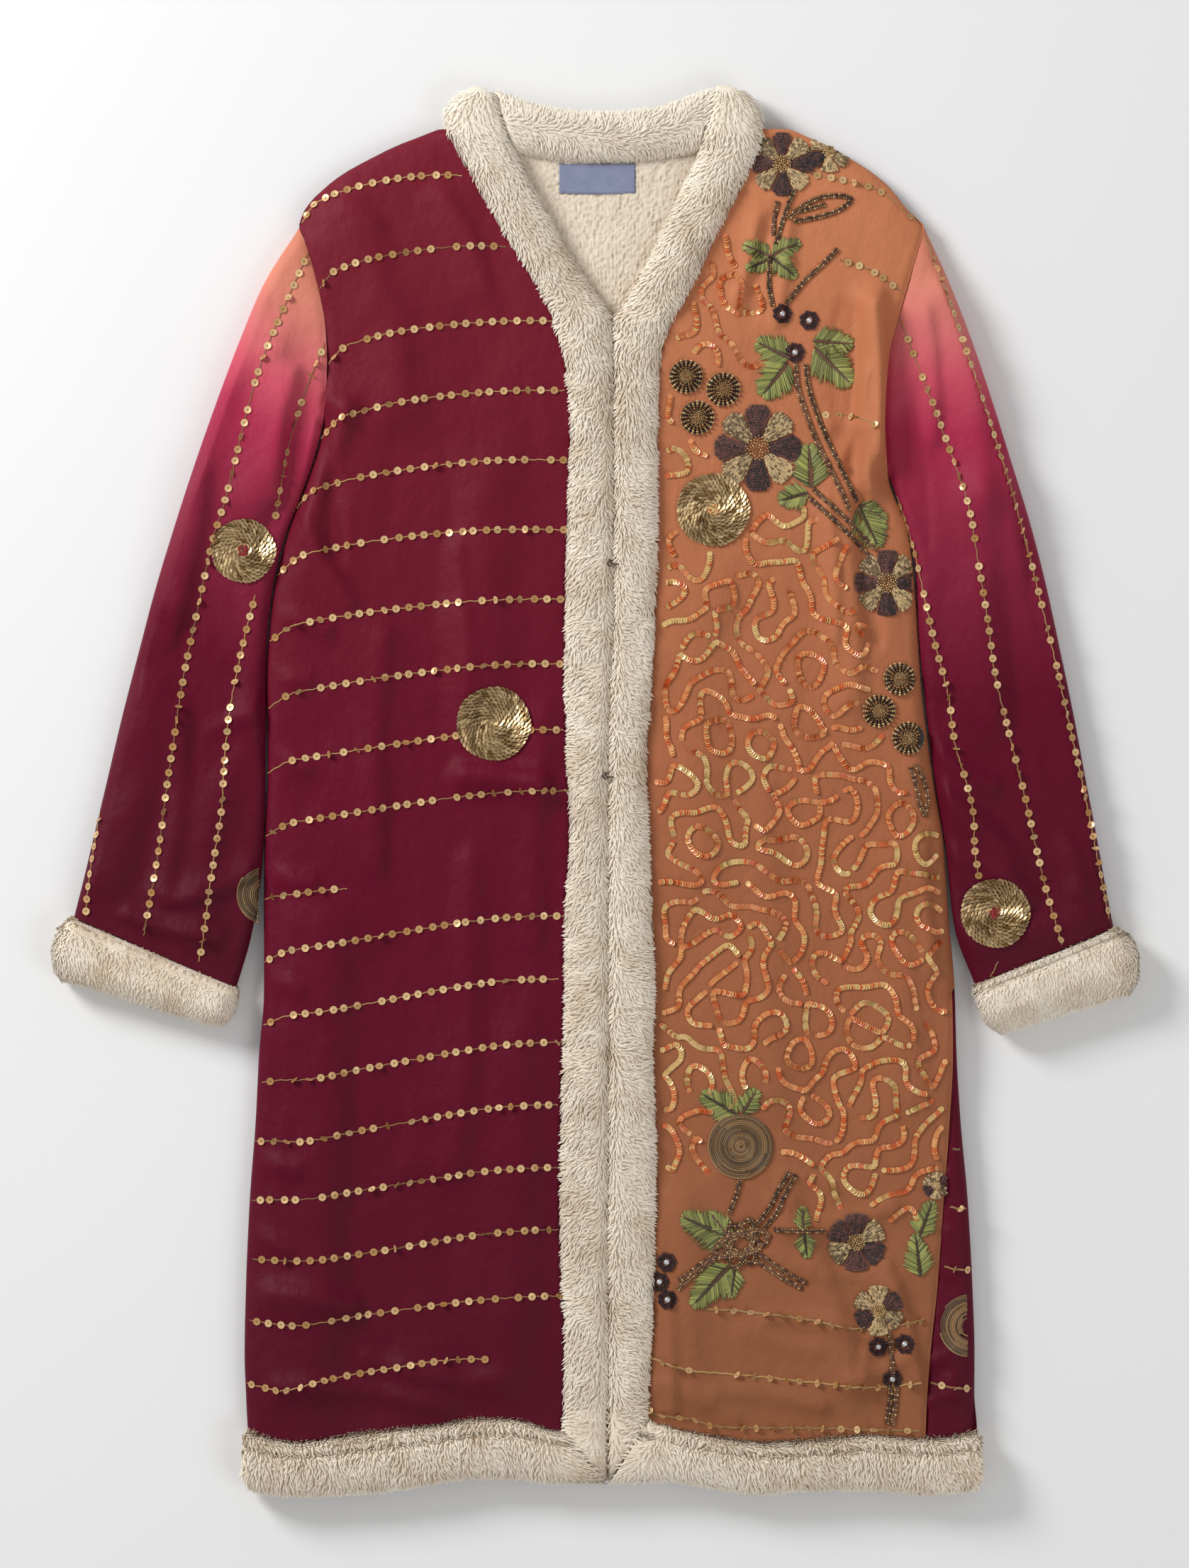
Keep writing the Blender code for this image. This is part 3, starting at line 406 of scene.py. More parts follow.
def distance_to(line, x, y):
    """Shortest distance from each place to a line of straight runs."""
    a, run = line[:-1], np.diff(line, axis=0)
    away_x, away_y = x[..., None] - a[:, 0], y[..., None] - a[:, 1]
    share = (away_x * run[:, 0] + away_y * run[:, 1]) / (run ** 2).sum(1)
    share = np.clip(share, 0.0, 1.0)
    near_x, near_y = away_x - share * run[:, 0], away_y - share * run[:, 1]
    return np.sqrt((near_x ** 2 + near_y ** 2).min(-1))


def outline(side, top, bottom):
    """The body's outline between two heights, as a line of close points."""
    y = np.linspace(top, bottom, max(int((top - bottom) / 8.0), 4))
    return np.stack([read(SECTIONS, "y", side, y), y], axis=1)


def seam_line():
    """The side seam of the wearer's left, where the back turns over."""
    y = np.linspace(TURNED_SEAM[0].y, TURNED_SEAM[-1].y, 60)
    return np.stack([read(TURNED_SEAM, "y", "x", y), y], axis=1)


def hem_top(x):
    """Where the cloth ends and the hem's fur starts."""
    return read(HEM, "x", "top", x)


def hem_end(x):
    """Where the hem's fur ends."""
    return read(HEM, "x", "end", x)


class Cloth:
    """A panel's upper face as a height over the table. It is rounded off at its
    folded edges, dips at its seams, and carries the folds of its table."""

    def __init__(self, seat, loft, rise, radius, folded, seams, folds, seed):
        self.seat, self.loft, self.rise, self.radius = seat, loft, rise, radius
        self.folded, self.seams, self.folds, self.seed = folded, seams, folds, seed

    def height(self, x, y):
        """Seat and lip, plus loft and folds faded in from a folded edge, plus
        the wall rounded by a quarter circle, less the dips at the seams."""
        x, y = np.asarray(x, float), np.asarray(y, float)
        strength = coat().fold_strength
        away = np.full(x.shape, FAR)
        for line in self.folded:
            away = np.minimum(away, distance_to(line, x, y))
        soft = (cells(x / 46.0 + 7.0, y / 58.0 + 3.0, self.seed) - 0.5) * 1.6
        soft += (cells(x / 17.0, y / 21.0, self.seed + 1) - 0.5) * 0.5
        drawn = relief(x, y, self.folds) + soft
        lift = np.maximum(self.loft + drawn * strength, -1.4)
        lift = np.where(self.loft > 0.0, np.maximum(lift, 0.0), lift)
        lift = lift * smoothstep(away / (EASE if self.loft > 0.0 else self.radius))
        z = self.seat + lift + self.rise * quarter(away / self.radius)
        for line in self.seams:
            near = distance_to(line, x, y)
            pucker = 1.0 + 0.6 * np.sin(y / 3.1 + x / 5.3) * np.exp(-((near - 5.0) / 4.0) ** 2)
            z = z - 1.7 * np.exp(-(near / 3.2) ** 2) * pucker
        return z

    def slope(self, x, y):
        """Unit normals: the height's differences over 1 mm, turned upright."""
        dx = (self.height(x + 0.5, y) - self.height(x - 0.5, y))
        dy = (self.height(x, y + 0.5) - self.height(x, y - 0.5))
        normal = np.stack([-dx, -dy, np.ones_like(dx)], axis=-1)
        return normal / np.linalg.norm(normal, axis=-1, keepdims=True)

    def lay(self, places, lift=0.0):
        """Places on the table, raised to the cloth."""
        places = np.asarray(places, float)
        z = self.height(places[:, 0], places[:, 1]) + lift
        return np.column_stack([places[:, :2], z])


def sleeve_lines(rings):
    """The outer and the inner fold line of a sleeve."""
    return (through(np.stack([column(rings, "out_x"), column(rings, "out_y")], 1), 8.0),
            through(np.stack([column(rings, "in_x"), column(rings, "in_y")], 1), 8.0))


def cloths():
    """Every panel's upper face, by name."""
    right_arm = outline("out_r", SHOULDER_Y, UNDERARM_R)
    left_arm = outline("out_l", SHOULDER_Y, UNDERARM_L)
    shoulder_r = outline("out_r", FIRST_LEVEL, SHOULDER_Y)
    shoulder_l = outline("out_l", FIRST_LEVEL, SHOULDER_Y)
    wall = WALL - LIP
    return {
        "right": Cloth(UPPER + LIP, LOFT, wall, ROUND,
                       [shoulder_r, outline("out_r", UNDERARM_R, BELOW_HEM)],
                       [right_arm], FOLDS_RIGHT, 11),
        "left": Cloth(UPPER + LIP, LOFT, wall, ROUND,
                      [shoulder_l, outline("out_l", UNDERARM_L, TURNED_SEAM[0].y)],
                      [left_arm, seam_line()], FOLDS_LEFT, 21),
        "turned": Cloth(UPPER + LIP, LOFT, wall, ROUND,
                        [outline("out_l", TURNED_SEAM[0].y + 6.0, BELOW_HEM)],
                        [seam_line()], FOLDS_TURNED, 31),
        "sleeve_r": Cloth(SLEEVE_MIDDLE, 0.0, SLEEVE_MIDDLE, SLEEVE_MIDDLE,
                          sleeve_lines(SLEEVE_R), [right_arm], FOLDS_SLEEVE_R, 41),
        "sleeve_l": Cloth(SLEEVE_MIDDLE, 0.0, SLEEVE_MIDDLE, SLEEVE_MIDDLE,
                          sleeve_lines(SLEEVE_L), [left_arm], FOLDS_SLEEVE_L, 51),
    }


def coat():
    """The sizes and colours of the coat, from the scene's settings."""
    return bpy.context.scene.fur_coat


def dye(name):
    """A colour setting, in 0 to 255."""
    return tuple(255.0 * value for value in getattr(coat(), name))


# Meshes.

def quads(rows, columns, closed=False):
    """Four-cornered faces of a grid of points, as an array. A closed grid joins
    its last column to its first."""
    across = columns if closed else columns - 1
    i, j = np.meshgrid(np.arange(rows - 1), np.arange(across), indexing="ij")
    near, far = i * columns, (i + 1) * columns
    k = (j + 1) % columns
    return np.stack([near + j, near + k, far + k, far + j], axis=-1).reshape(-1, 4)


def make(name, points, faces, material, uv=None, normals=None, replaces=()):
    """A piece of the coat from points in millimetres. Faces come as a list of
    arrays, one for each number of corners."""
    points = np.ascontiguousarray(np.asarray(points, float).reshape(-1, 3) * MM)
    corners = np.concatenate([f.ravel() for f in faces]).astype(np.int32)
    sizes = np.concatenate([np.full(len(f), f.shape[1]) for f in faces])
    mesh = bpy.data.meshes.new(name)
    mesh.vertices.add(len(points))
    mesh.vertices.foreach_set("co", points.ravel())
    mesh.loops.add(len(corners))
    mesh.loops.foreach_set("vertex_index", corners)
    mesh.polygons.add(len(sizes))
    mesh.polygons.foreach_set("loop_start", np.cumsum(sizes) - sizes)
    mesh.polygons.foreach_set("use_smooth", np.ones(len(sizes), bool))
    if uv is not None:
        layer = mesh.uv_layers.new(name="UVMap")
        layer.data.foreach_set("uv", np.asarray(uv, float)[corners].ravel())
    mesh.update(calc_edges=True)
    if normals is not None:
        mesh.normals_split_custom_set_from_vertices(np.asarray(normals, float).tolist())
    mesh.materials.append(material)
    made = bpy.data.objects.new(name, mesh)
    bpy.context.scene.collection.objects.link(made)
    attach(made, "root")
    if replaces:
        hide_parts(*replaces)
    return made


def rimmed(grid):
    """A grid with its border repeated, and a mask of the repeated points."""
    rim = np.pad(grid, ((1, 1), (1, 1), (0, 0)), mode="edge")
    edge = np.ones(rim.shape[:2], bool)
    edge[1:-1, 1:-1] = False
    return rim, edge


def shell(top, base):
    """A grid whose rim is at the level base, or just under a lower border, so
    that the sheet's edge turns down onto what it lies on."""
    rim, edge = rimmed(top)
    rim[edge, 2] = np.minimum(base, rim[edge, 2] - 0.2)
    return rim


def tray(grid, top):
    """The back's grid with a rim that stands up to the side seam."""
    rim, edge = rimmed(grid)
    rim[edge, 2] = top
    return rim


# Finishes.

def linear(colour):
    """A colour given in 0 to 255 as the shader's linear values."""
    share = np.asarray(colour, float) / 255.0
    out = np.where(share <= 0.04045, share / 12.92, ((share + 0.055) / 1.055) ** 2.4)
    return tuple(float(c) for c in out)


class Wire:
    """A socket of a finish's nodes. Maths on it adds Math nodes."""

    def __init__(self, finish, socket):
        self.finish, self.socket = finish, socket

    def math(self, operation, *values):
        """A Math node of that operation on these values."""
        return self.finish.node("ShaderNodeMath", {"operation": operation}, dict(enumerate(values)))

    def __add__(self, other):
        return self.math("ADD", self, other)

    def __sub__(self, other):
        return self.math("SUBTRACT", self, other)

    def __rsub__(self, other):
        return self.math("SUBTRACT", other, self)

    def __mul__(self, other):
        return self.math("MULTIPLY", self, other)

    def __truediv__(self, other):
        return self.math("DIVIDE", self, other)

    __radd__ = __add__
    __rmul__ = __mul__

    def over(self, low, high):
        """A soft step that is 0 below low and 1 above high."""
        settings = {"interpolation_type": "SMOOTHSTEP"}
        return self.finish.node("ShaderNodeMapRange", settings,
                                {"Value": self, "From Min": low, "From Max": high}, "Result")


class Finish:
    """A procedural material, built node by node."""

    def __init__(self, name, **constants):
        self.material = bpy.data.materials.new(name)
        self.material.use_nodes = True
        self.tree = self.material.node_tree
        self.shader = self.tree.nodes["Principled BSDF"]
        for socket, value in constants.items():
            self.set(socket.replace("_", " "), value)

    def node(self, kind, settings=None, values=None, output=0):
        """A node of a type: its settings first, then the values or links of its
        sockets. The stops of a ramp are pairs of a place and a colour."""
        made = self.tree.nodes.new(kind)
        for name, value in (settings or {}).items():
            if name == "stops":
                ramp = made.color_ramp
                while len(ramp.elements) < len(value):
                    ramp.elements.new(0.5)
                for element, (place, colour) in zip(ramp.elements, value):
                    element.position, element.color = place, (*colour, 1.0)
            else:
                setattr(made, name, value)
        for key, value in (values or {}).items():
            self.feed(made.inputs[key], value)
        return Wire(self, made.outputs[output])

    def feed(self, socket, value):
        """A link, or a value of its own, into a socket."""
        if isinstance(value, Wire):
            self.tree.links.new(value.socket, socket)
        else:
            socket.default_value = value

    def set(self, socket, value):
        """A value or a link into the shader."""
        if not isinstance(value, Wire) and socket == "Base Color":
            value = (*value, 1.0)
        self.feed(self.shader.inputs[socket], value)

    def place(self):
        """Object coordinates, in metres."""
        return self.node("ShaderNodeTexCoord", output="Object")

    def stretched(self, vector, scale):
        """Coordinates stretched along the axes."""
        return self.node("ShaderNodeMapping", None, {"Vector": vector, "Scale": scale})

    def noise(self, vector, scale, detail=2.0, roughness=0.5):
        """Cloudy noise from 0 to 1."""
        values = {"Vector": vector, "Scale": scale, "Detail": detail, "Roughness": roughness}
        return self.node("ShaderNodeTexNoise", None, values)

    def axis(self, vector, name):
        """One coordinate of a vector."""
        return self.node("ShaderNodeSeparateXYZ", None, {"Vector": vector}, name)

    def ramp(self, factor, stops):
        """Colours read along a ramp."""
        return self.node("ShaderNodeValToRGB", {"stops": stops}, {"Fac": factor})

    def mix(self, factor, a, b):
        """Two colours mixed by a factor."""
        values = {0: factor}
        for key, colour in ((6, a), (7, b)):
            values[key] = colour if isinstance(colour, Wire) else (*colour, 1.0)
        return self.node("ShaderNodeMix", {"data_type": "RGBA"}, values, 2)

    def bump(self, height, distance, strength=1.0):
        """Relief of that depth in metres, as a normal."""
        values = {"Height": height, "Distance": distance, "Strength": strength}
        return self.node("ShaderNodeBump", None, values)


def silk(name, stops, low, high, aside=0.0):
    """Silk with a fine slub: a colour that changes down the coat, and aslant on the sleeve at low
    X, where it is partly dye and partly painted shade that darkens it towards the sleeve's outer
    edge and cuff, with uneven threads and a tight weave as relief."""
    finish = Finish(name, Sheen_Weight=0.03, Sheen_Roughness=0.35, Specular_IOR_Level=0.13)
    place = finish.place()
    cloud = finish.noise(place, 11.0, 3.0)
    fine = finish.noise(place, 60.0, 3.0, 0.6)
    along = (finish.axis(place, "Y") - low) / (high - low) + (cloud - 0.5) * 0.05
    # On the sleeve at low X the colour turns aslant towards maroon at its outer edge and cuff:
    # partly the dye, partly painted shade where the key light falls brightly.
    if aside:
        x = finish.axis(place, "X")
        along = along + x.over(-0.42, -0.16) * aside - x.over(-0.16, 0.10) * 0.055 - 0.14
    colour = finish.ramp(along, [(at, linear(c)) for at, c in stops])
    slub = finish.noise(finish.stretched(place, (90.0, 1500.0, 90.0)), 1.0, 3.0, 0.7)
    warp = finish.noise(finish.stretched(place, (1700.0, 120.0, 120.0)), 1.0, 2.0, 0.6)
    thread = slub * 0.6 + warp * 0.4
    shade = (cloud - 0.5) * 0.30 + (fine - 0.5) * 0.22 + (thread - 0.5) * 0.5
    colour = finish.mix(shade.over(0.0, 0.35) * 0.40, colour, (0.0, 0.0, 0.0))
    colour = finish.mix((shade * -1.0).over(0.0, 0.35) * 0.012, colour, (1.0, 0.62, 0.50))
    finish.set("Base Color", colour)
    finish.set("Roughness", 0.56 + (cloud - 0.5) * 0.06 + (thread - 0.5) * 0.18)
    crumple = finish.noise(finish.stretched(place, (46.0, 34.0, 46.0)), 1.0, 4.0, 0.55)
    finish.set("Normal", finish.bump(thread * 0.08 + crumple * 1.2, 0.0030, 0.7))
    return finish.material


def maroon_silk():
    """Maroon silk, darker towards the hem."""
    return silk("maroon_silk", [(0.0, dye("maroon_low")), (0.45, dye("maroon_mid")),
                                (1.0, dye("maroon_high"))], -0.52, 0.50)


def orange_silk():
    """Burnt orange silk."""
    return silk("orange_silk", [(0.0, dye("orange_low")), (0.5, dye("orange_mid")),
                                (1.0, dye("orange_high"))], -0.52, 0.52)


def ombre_silk():
    """Silk dyed from orange at the shoulder through pink and crimson to maroon."""
    stops = [(0.0, dye("maroon_low")), (0.34, dye("maroon_mid")), (0.56, (140, 34, 62)),
             (0.68, (168, 42, 74)), (0.745, (196, 76, 94)), (0.80, (206, 106, 108)),
             (0.87, dye("ombre_high")), (1.0, (196, 122, 92))]
    # Its last value turns the colour aslant on the wearer's right sleeve: partly dye, partly
    # painted shade at its outer edge.
    return silk("ombre_silk", stops, -0.139, 0.481, 0.19)


def fur_finish(name, root, tip, per_lock):
    """Fur: darker and warmer at the root, paler at the tip, clouded in patches, and with painted
    light that makes it paler at the top of the coat, by the neck, where the light falls. The UV's
    first value is a lock's own shade and its second the way along it."""
    finish = Finish(name, Roughness=0.86, Specular_IOR_Level=0.18,
                    Sheen_Weight=0.35, Sheen_Roughness=0.5)
    place = finish.place()
    patch = finish.noise(place, 34.0, 3.0, 0.55)
    wide = finish.noise(place, 7.0, 2.0)
    if per_lock:
        lock = finish.node("ShaderNodeUVMap", {"uv_map": "UVMap"})
        own, along = finish.axis(lock, "X"), finish.axis(lock, "Y")
    else:
        own, along = finish.noise(place, 900.0, 2.0), finish.noise(place, 420.0, 2.0)
    # Painted light: the fur is made paler towards the top of the coat, by the neck, where the light
    # falls.
    top = finish.axis(place, "Y").over(0.45, 0.56)
    factor = along * 0.5 + own * 0.25 + (patch - 0.5) * 1.3 + (wide - 0.5) * 0.6 + 0.22
    factor = factor + top * 0.4
    colour = finish.mix(factor.over(0.0, 1.0), linear(root), linear(tip))
    finish.set("Base Color", colour)
    if not per_lock:
        tuft = finish.noise(place, 520.0, 4.0, 0.65)
        finish.set("Normal", finish.bump(tuft, 0.0016, 0.8))
    return finish.material


def pile_finish():
    """Curled pile of the lining, with painted shade that darkens it where it lies low between its
    curls.
    """
    finish = Finish("pile_lining", Roughness=0.92, Specular_IOR_Level=0.15,
                    Sheen_Weight=0.4, Sheen_Roughness=0.6)
    place = finish.place()
    curl = finish.noise(place, 330.0, 4.0, 0.6)
    patch = finish.noise(place, 22.0, 3.0)
    rise = finish.node("ShaderNodeUVMap", {"uv_map": "UVMap"})
    # Painted shade: the lower the pile lies between its curls, the darker its colour.
    painted_shade_rise = finish.axis(rise, "Y")
    factor = (painted_shade_rise * 0.5 + (curl - 0.5) * 0.4 + (patch - 0.5) * 0.5 + 0.25).over(0.0, 0.9)
    finish.set("Base Color", finish.mix(factor, linear(dye("pile_deep_shade")), linear(dye("pile_high"))))
    finish.set("Normal", finish.bump(curl, 0.0014, 0.7))
    return finish.material


def label_finish():
    """Woven blue-grey label cloth: fine ribs across and a paler thread grain."""
    finish = Finish("label_cloth", Specular_IOR_Level=0.3)
    place = finish.place()
    rib = finish.noise(finish.stretched(place, (260.0, 2600.0, 260.0)), 1.0, 2.0)
    patch = finish.noise(place, 90.0, 3.0)
    factor = (rib - 0.5) * 0.7 + (patch - 0.5) * 0.6 + 0.5
    finish.set("Base Color", finish.mix(factor, linear((110, 117, 146)), linear((158, 163, 188))))
    finish.set("Roughness", 0.72 + rib * 0.2)
    finish.set("Normal", finish.bump(rib, 0.0004, 0.7))
    return finish.material


def glint(name, dark, bright, metallic, roughness, other=None):
    """Sequins and beads: the UV's first value picks each one's own colour
    between dark and bright, and patches of it turn to the other colour."""
    finish = Finish(name, Specular_IOR_Level=0.6)
    place = finish.place()
    lock = finish.node("ShaderNodeUVMap", {"uv_map": "UVMap"})
    own = finish.axis(lock, "X")
    grain = finish.noise(place, 900.0, 3.0)
    colour = finish.mix(own, linear(dark), linear(bright))
    if other:
        patch = finish.noise(place, 26.0, 2.0)
        turned = (patch + (own - 0.5) * 0.16).over(0.53, 0.58)
        colour = finish.mix(turned, colour, linear(other))
    colour = finish.mix(grain * 0.3, colour, (0.02, 0.01, 0.005))
    finish.set("Base Color", colour)
    finish.set("Metallic", metallic + (own - 0.5) * 0.1)
    finish.set("Roughness", roughness + own * 0.12 + (grain - 0.5) * 0.1)
    return finish.material


def stitch_finish(name, dark, bright):
    """Embroidery thread: its own tone for each stitch, with painted highlights and shade in stripes
    along it, where its twist would catch the light.
    """
    finish = Finish(name, Specular_IOR_Level=0.5, Sheen_Weight=0.3, Sheen_Roughness=0.4)
    lock = finish.node("ShaderNodeUVMap", {"uv_map": "UVMap"})
    own, along = finish.axis(lock, "X"), finish.axis(lock, "Y")
    # Painted highlight and shade: stripes along the thread stand in for the light on its twist.
    turn = along * 140.0 + own * 40.0
    twist_shading = turn.math("SINE", turn)
    factor = own * 0.75 + twist_shading * 0.12 + 0.12
    finish.set("Base Color", finish.mix(factor.over(0.0, 1.0), linear(dark), linear(bright)))
    finish.set("Roughness", 0.42 + own * 0.15)
    return finish.material


def wire_finish():
    """Dull bronze-grey wire, a little worn."""
    finish = Finish("hook_metal", Metallic=1.0)
    worn = finish.noise(finish.place(), 700.0, 4.0, 0.6)
    finish.set("Base Color", finish.mix(worn, linear((46, 36, 32)), linear((132, 116, 102))))
    finish.set("Roughness", 0.24 + worn * 0.25)
    return finish.material


def floor_finish():
    """Pale matt floor with a faint cloudiness."""
    finish = Finish("pale_floor", Specular_IOR_Level=0.1)
    cloud = finish.noise(finish.place(), 1.4, 3.0)
    finish.set("Base Color", finish.mix(cloud, (0.86, 0.86, 0.86), (0.90, 0.90, 0.90)))
    finish.set("Roughness", 0.85 + cloud * 0.1)
    return finish.material


FINISHES = {}


def finish_of(name, make_it, *values):
    """The finish of that name, made on first use."""
    if name not in FINISHES:
        FINISHES[name] = make_it(*values)
    return FINISHES[name]


# Looks of the embroidery: the maker of the finish, then its colours. For
# sequins and beads, how metallic and how rough they are come next, and the
# colour of some patches last.
LOOKS = {
    "gold_sequins": (glint, (190, 138, 78), (246, 208, 152), 0.22, 0.26),
    "disc_sequins": (glint, (148, 110, 64), (250, 220, 166), 0.68, 0.26),
    "orange_sequins": (glint, (222, 104, 54), (255, 190, 122), 0.12, 0.24, (238, 198, 128)),
    "bronze_beads": (glint, (72, 44, 30), (172, 126, 80), 0.45, 0.26),
    "plum_beads": (glint, (30, 16, 20), (82, 46, 50), 0.30, 0.34),
    "gold_beads": (glint, (150, 112, 66), (236, 202, 146), 0.55, 0.26),
    "red_beads": (glint, (110, 16, 26), (186, 44, 48), 0.25, 0.30),
    "crystals": (glint, (206, 208, 212), (246, 246, 250), 0.60, 0.08),
    "coil_thread": (stitch_finish, (30, 18, 10), (176, 134, 84)),
    "gold_thread": (stitch_finish, (84, 60, 32), (226, 196, 144)),
    "plum_thread": (stitch_finish, (24, 12, 16), (112, 66, 58)),
    "green_thread": (stitch_finish, (52, 58, 18), (180, 182, 98)),
    "string_thread": (stitch_finish, (130, 92, 46), (198, 156, 92)),
    "label_thread": (stitch_finish, (60, 64, 90), (112, 118, 150)),
}


def look(name):
    """The finish of that name from the table of looks."""
    make_it, *values = LOOKS[name]
    return finish_of(name, make_it, name, *values)


# Cloth.

def body_rows(side):
    """Rows of a front: for each, outline, seam at the fur band and its height.
    The last rows bend from level to the hem's curve."""
    level = np.linspace(SECTIONS[0].y, LAST_LEVEL, coat().cloth_rows)
    if side == "right":
        out, edge = (read(SECTIONS, "y", name, level) for name in ("out_r", "edge_r"))
        ends = (HEM_R, EDGE_HEM_R)
    else:
        out, edge = (read(SECTIONS, "y", name, level) for name in ("out_l", "edge_l"))
        seam = read(TURNED_SEAM, "y", "x", level)
        out = np.where(level < TURNED_SEAM[0].y, seam, out)
        ends = (TURNED_SEAM[-1].x, EDGE_HEM_L)
    bend = np.linspace(0.0, 1.0, 8)[1:]
    out = np.concatenate([out, out[-1] + (ends[0] - out[-1]) * bend])
    edge = np.concatenate([edge, edge[-1] + (ends[1] - edge[-1]) * bend])
    level = np.concatenate([level, np.full(len(bend), LAST_LEVEL)])
    return level, np.concatenate([np.zeros(len(level) - len(bend)), bend]), out, edge


def front_grid(side, cloth):
    """A front's upper face: columns run from the outline to the fur band,
    closer together at the fold. Heights come from the cloth."""
    level, bend, out, edge = body_rows(side)
    across = np.linspace(0.0, 1.0, coat().cloth_columns) ** 1.5
    x = out[:, None] + (edge - out)[:, None] * across[None, :]
    y = level[:, None] * (1.0 - bend[:, None]) + hem_top(x) * bend[:, None]
    return np.stack([x, y, cloth.height(x, y)], axis=-1)


def turned_grid(cloth):
    """The strip of the back that turns over on the front, from seam to fold."""
    share = np.linspace(0.0, 1.0, 90)
    y = TURNED_SEAM[0].y + (-516.0 - TURNED_SEAM[0].y) * share
    inner = read(TURNED_SEAM, "y", "x", y) + SEAM
    outer = read(SECTIONS, "y", "out_l", y)
    outer = outer + (HEM_L - outer[-1]) * smoothstep((share - 0.9) / 0.1)
    across = 1.0 - np.linspace(1.0, 0.0, 22) ** 1.6
    x = inner[:, None] + (outer - inner)[:, None] * across[None, :]
    bend = smoothstep((share - 0.9) / 0.1)[:, None]
    rows = y[:, None] + (hem_top(x) - y[-1]) * bend
    return np.stack([x, rows, cloth.height(x, rows)], axis=-1)


def back_grid():
    """The back as a tray: flat on the table, lifted in a quarter circle at its
    outline, with the folds of the hidden side as shallow troughs."""
    upper = np.array([[s.out_r, s.y] for s in SECTIONS[3::-1]]
                     + [[n.seam_x, n.seam_y - SEAM] for n in NECK]
                     + [[s.out_l, s.y] for s in SECTIONS[:4]])
    rim = np.concatenate([a + (b - a) * np.linspace(0.0, 1.0, 12)[:-1, None]
                          for a, b in zip(upper[:-1], upper[1:])] + [upper[-1:]])
    rim[:, 1] -= 2.5 * smoothstep((rim[:, 1] - SHOULDER_Y) / 30.0)
    tips = np.array([[SECTIONS[4].out_r, SHOULDER_Y], [SECTIONS[4].out_l, SHOULDER_Y]])
    share = np.linspace(0.0, 1.0, len(rim))
    base = tips[0] + (tips[1] - tips[0]) * share[:, None]
    rows = [rim + (base - rim) * t for t in np.linspace(0.0, 1.0, 14)[:-1]]
    level = np.linspace(SHOULDER_Y, LAST_LEVEL, 96)
    right = read(SECTIONS, "y", "out_r", level)
    left = read(SECTIONS, "y", "out_l", level)
    for y, a, b in zip(level, right, left):
        rows.append(np.column_stack([a + (b - a) * share, np.full(len(share), y)]))
    last = rows[-1]
    for t in (0.35, 0.7, 1.0):
        x = last[:, 0] + (HEM_R + (HEM_L - HEM_R) * share - last[:, 0]) * t
        rows.append(np.column_stack([x, LAST_LEVEL * (1.0 - t) + (hem_top(x) + SEAM) * t]))
    flat = np.array(rows)
    x, y = flat[..., 0], flat[..., 1]
    away = np.minimum(distance_to(outline("out_r", FIRST_LEVEL, BELOW_HEM), x, y),
                      distance_to(outline("out_l", FIRST_LEVEL, BELOW_HEM), x, y))
    lifted = 4.2 * (1.0 - quarter(away / 9.0))
    soft = np.maximum(relief(x, y, FOLDS_BACK), 0.0) * 0.7
    soft += np.maximum(cells(x / 30.0, y / 42.0, 5) - 0.62, 0.0) * 2.2
    z = 0.25 + lifted + soft * smoothstep(away / 26.0)
    return np.stack([x, y, z], axis=-1)


def sleeve_grid(rings, side, sign, cloth):
    """A sleeve: rings run from fold to fold over the top and back under it. The
    first follows the armhole, and its bend fades out along the sleeve."""
    count = coat().sleeve_rings
    at = np.linspace(0.0, len(rings) - 1.0, count)
    ends = fold_ends(rings, at)
    share_along = at / (len(rings) - 1.0)
    aside = np.where(at < 1.0, SEAM + 0.5 * at, 0.8)
    start = np.stack([ends[0] + sign * SEAM * (at == 0.0), ends[1]], 1)
    end = np.stack([ends[2] + sign * aside, ends[3]], 1)
    over = 0.5 - 0.5 * np.cos(np.pi * np.linspace(0.0, 1.0, 56))
    under = (0.5 + 0.5 * np.cos(np.pi * np.linspace(0.0, 1.0, 22)))[1:-1]
    share = np.concatenate([over, under])
    arm = outline("out_" + side, SHOULDER_Y, UNDERARM_R if side == "r" else UNDERARM_L)
    length = lengths(arm)
    bulge = np.stack([np.interp(share * length[-1], length, arm[:, k])
                      - (arm[0, k] + (arm[-1, k] - arm[0, k]) * share) for k in (0, 1)], 1)
    fade = ((1.0 - share_along) ** 5)[:, None, None]
    flat = start[:, None] + (end - start)[:, None] * share[None, :, None] + bulge[None] * fade
    x, y = flat[..., 0], flat[..., 1]
    top = cloth.height(x, y)
    near = np.minimum(distance_to(cloth.folded[0], x, y), distance_to(cloth.folded[1], x, y))
    crumple = np.maximum(cells(x / 24.0, y / 30.0, cloth.seed + 5) - 0.6, 0.0) * 2.0
    bottom = SLEEVE_MIDDLE - (SLEEVE_MIDDLE - 0.3) * quarter(near / SLEEVE_MIDDLE)
    bottom += crumple * smoothstep(near / 24.0)
    is_top = (np.arange(len(share)) < len(over))[None, :]
    z = np.where(is_top, top, bottom)
    z[:, 0] = z[:, len(over) - 1] = SLEEVE_MIDDLE
    return np.stack([x, y, z], axis=-1)


# Fur.

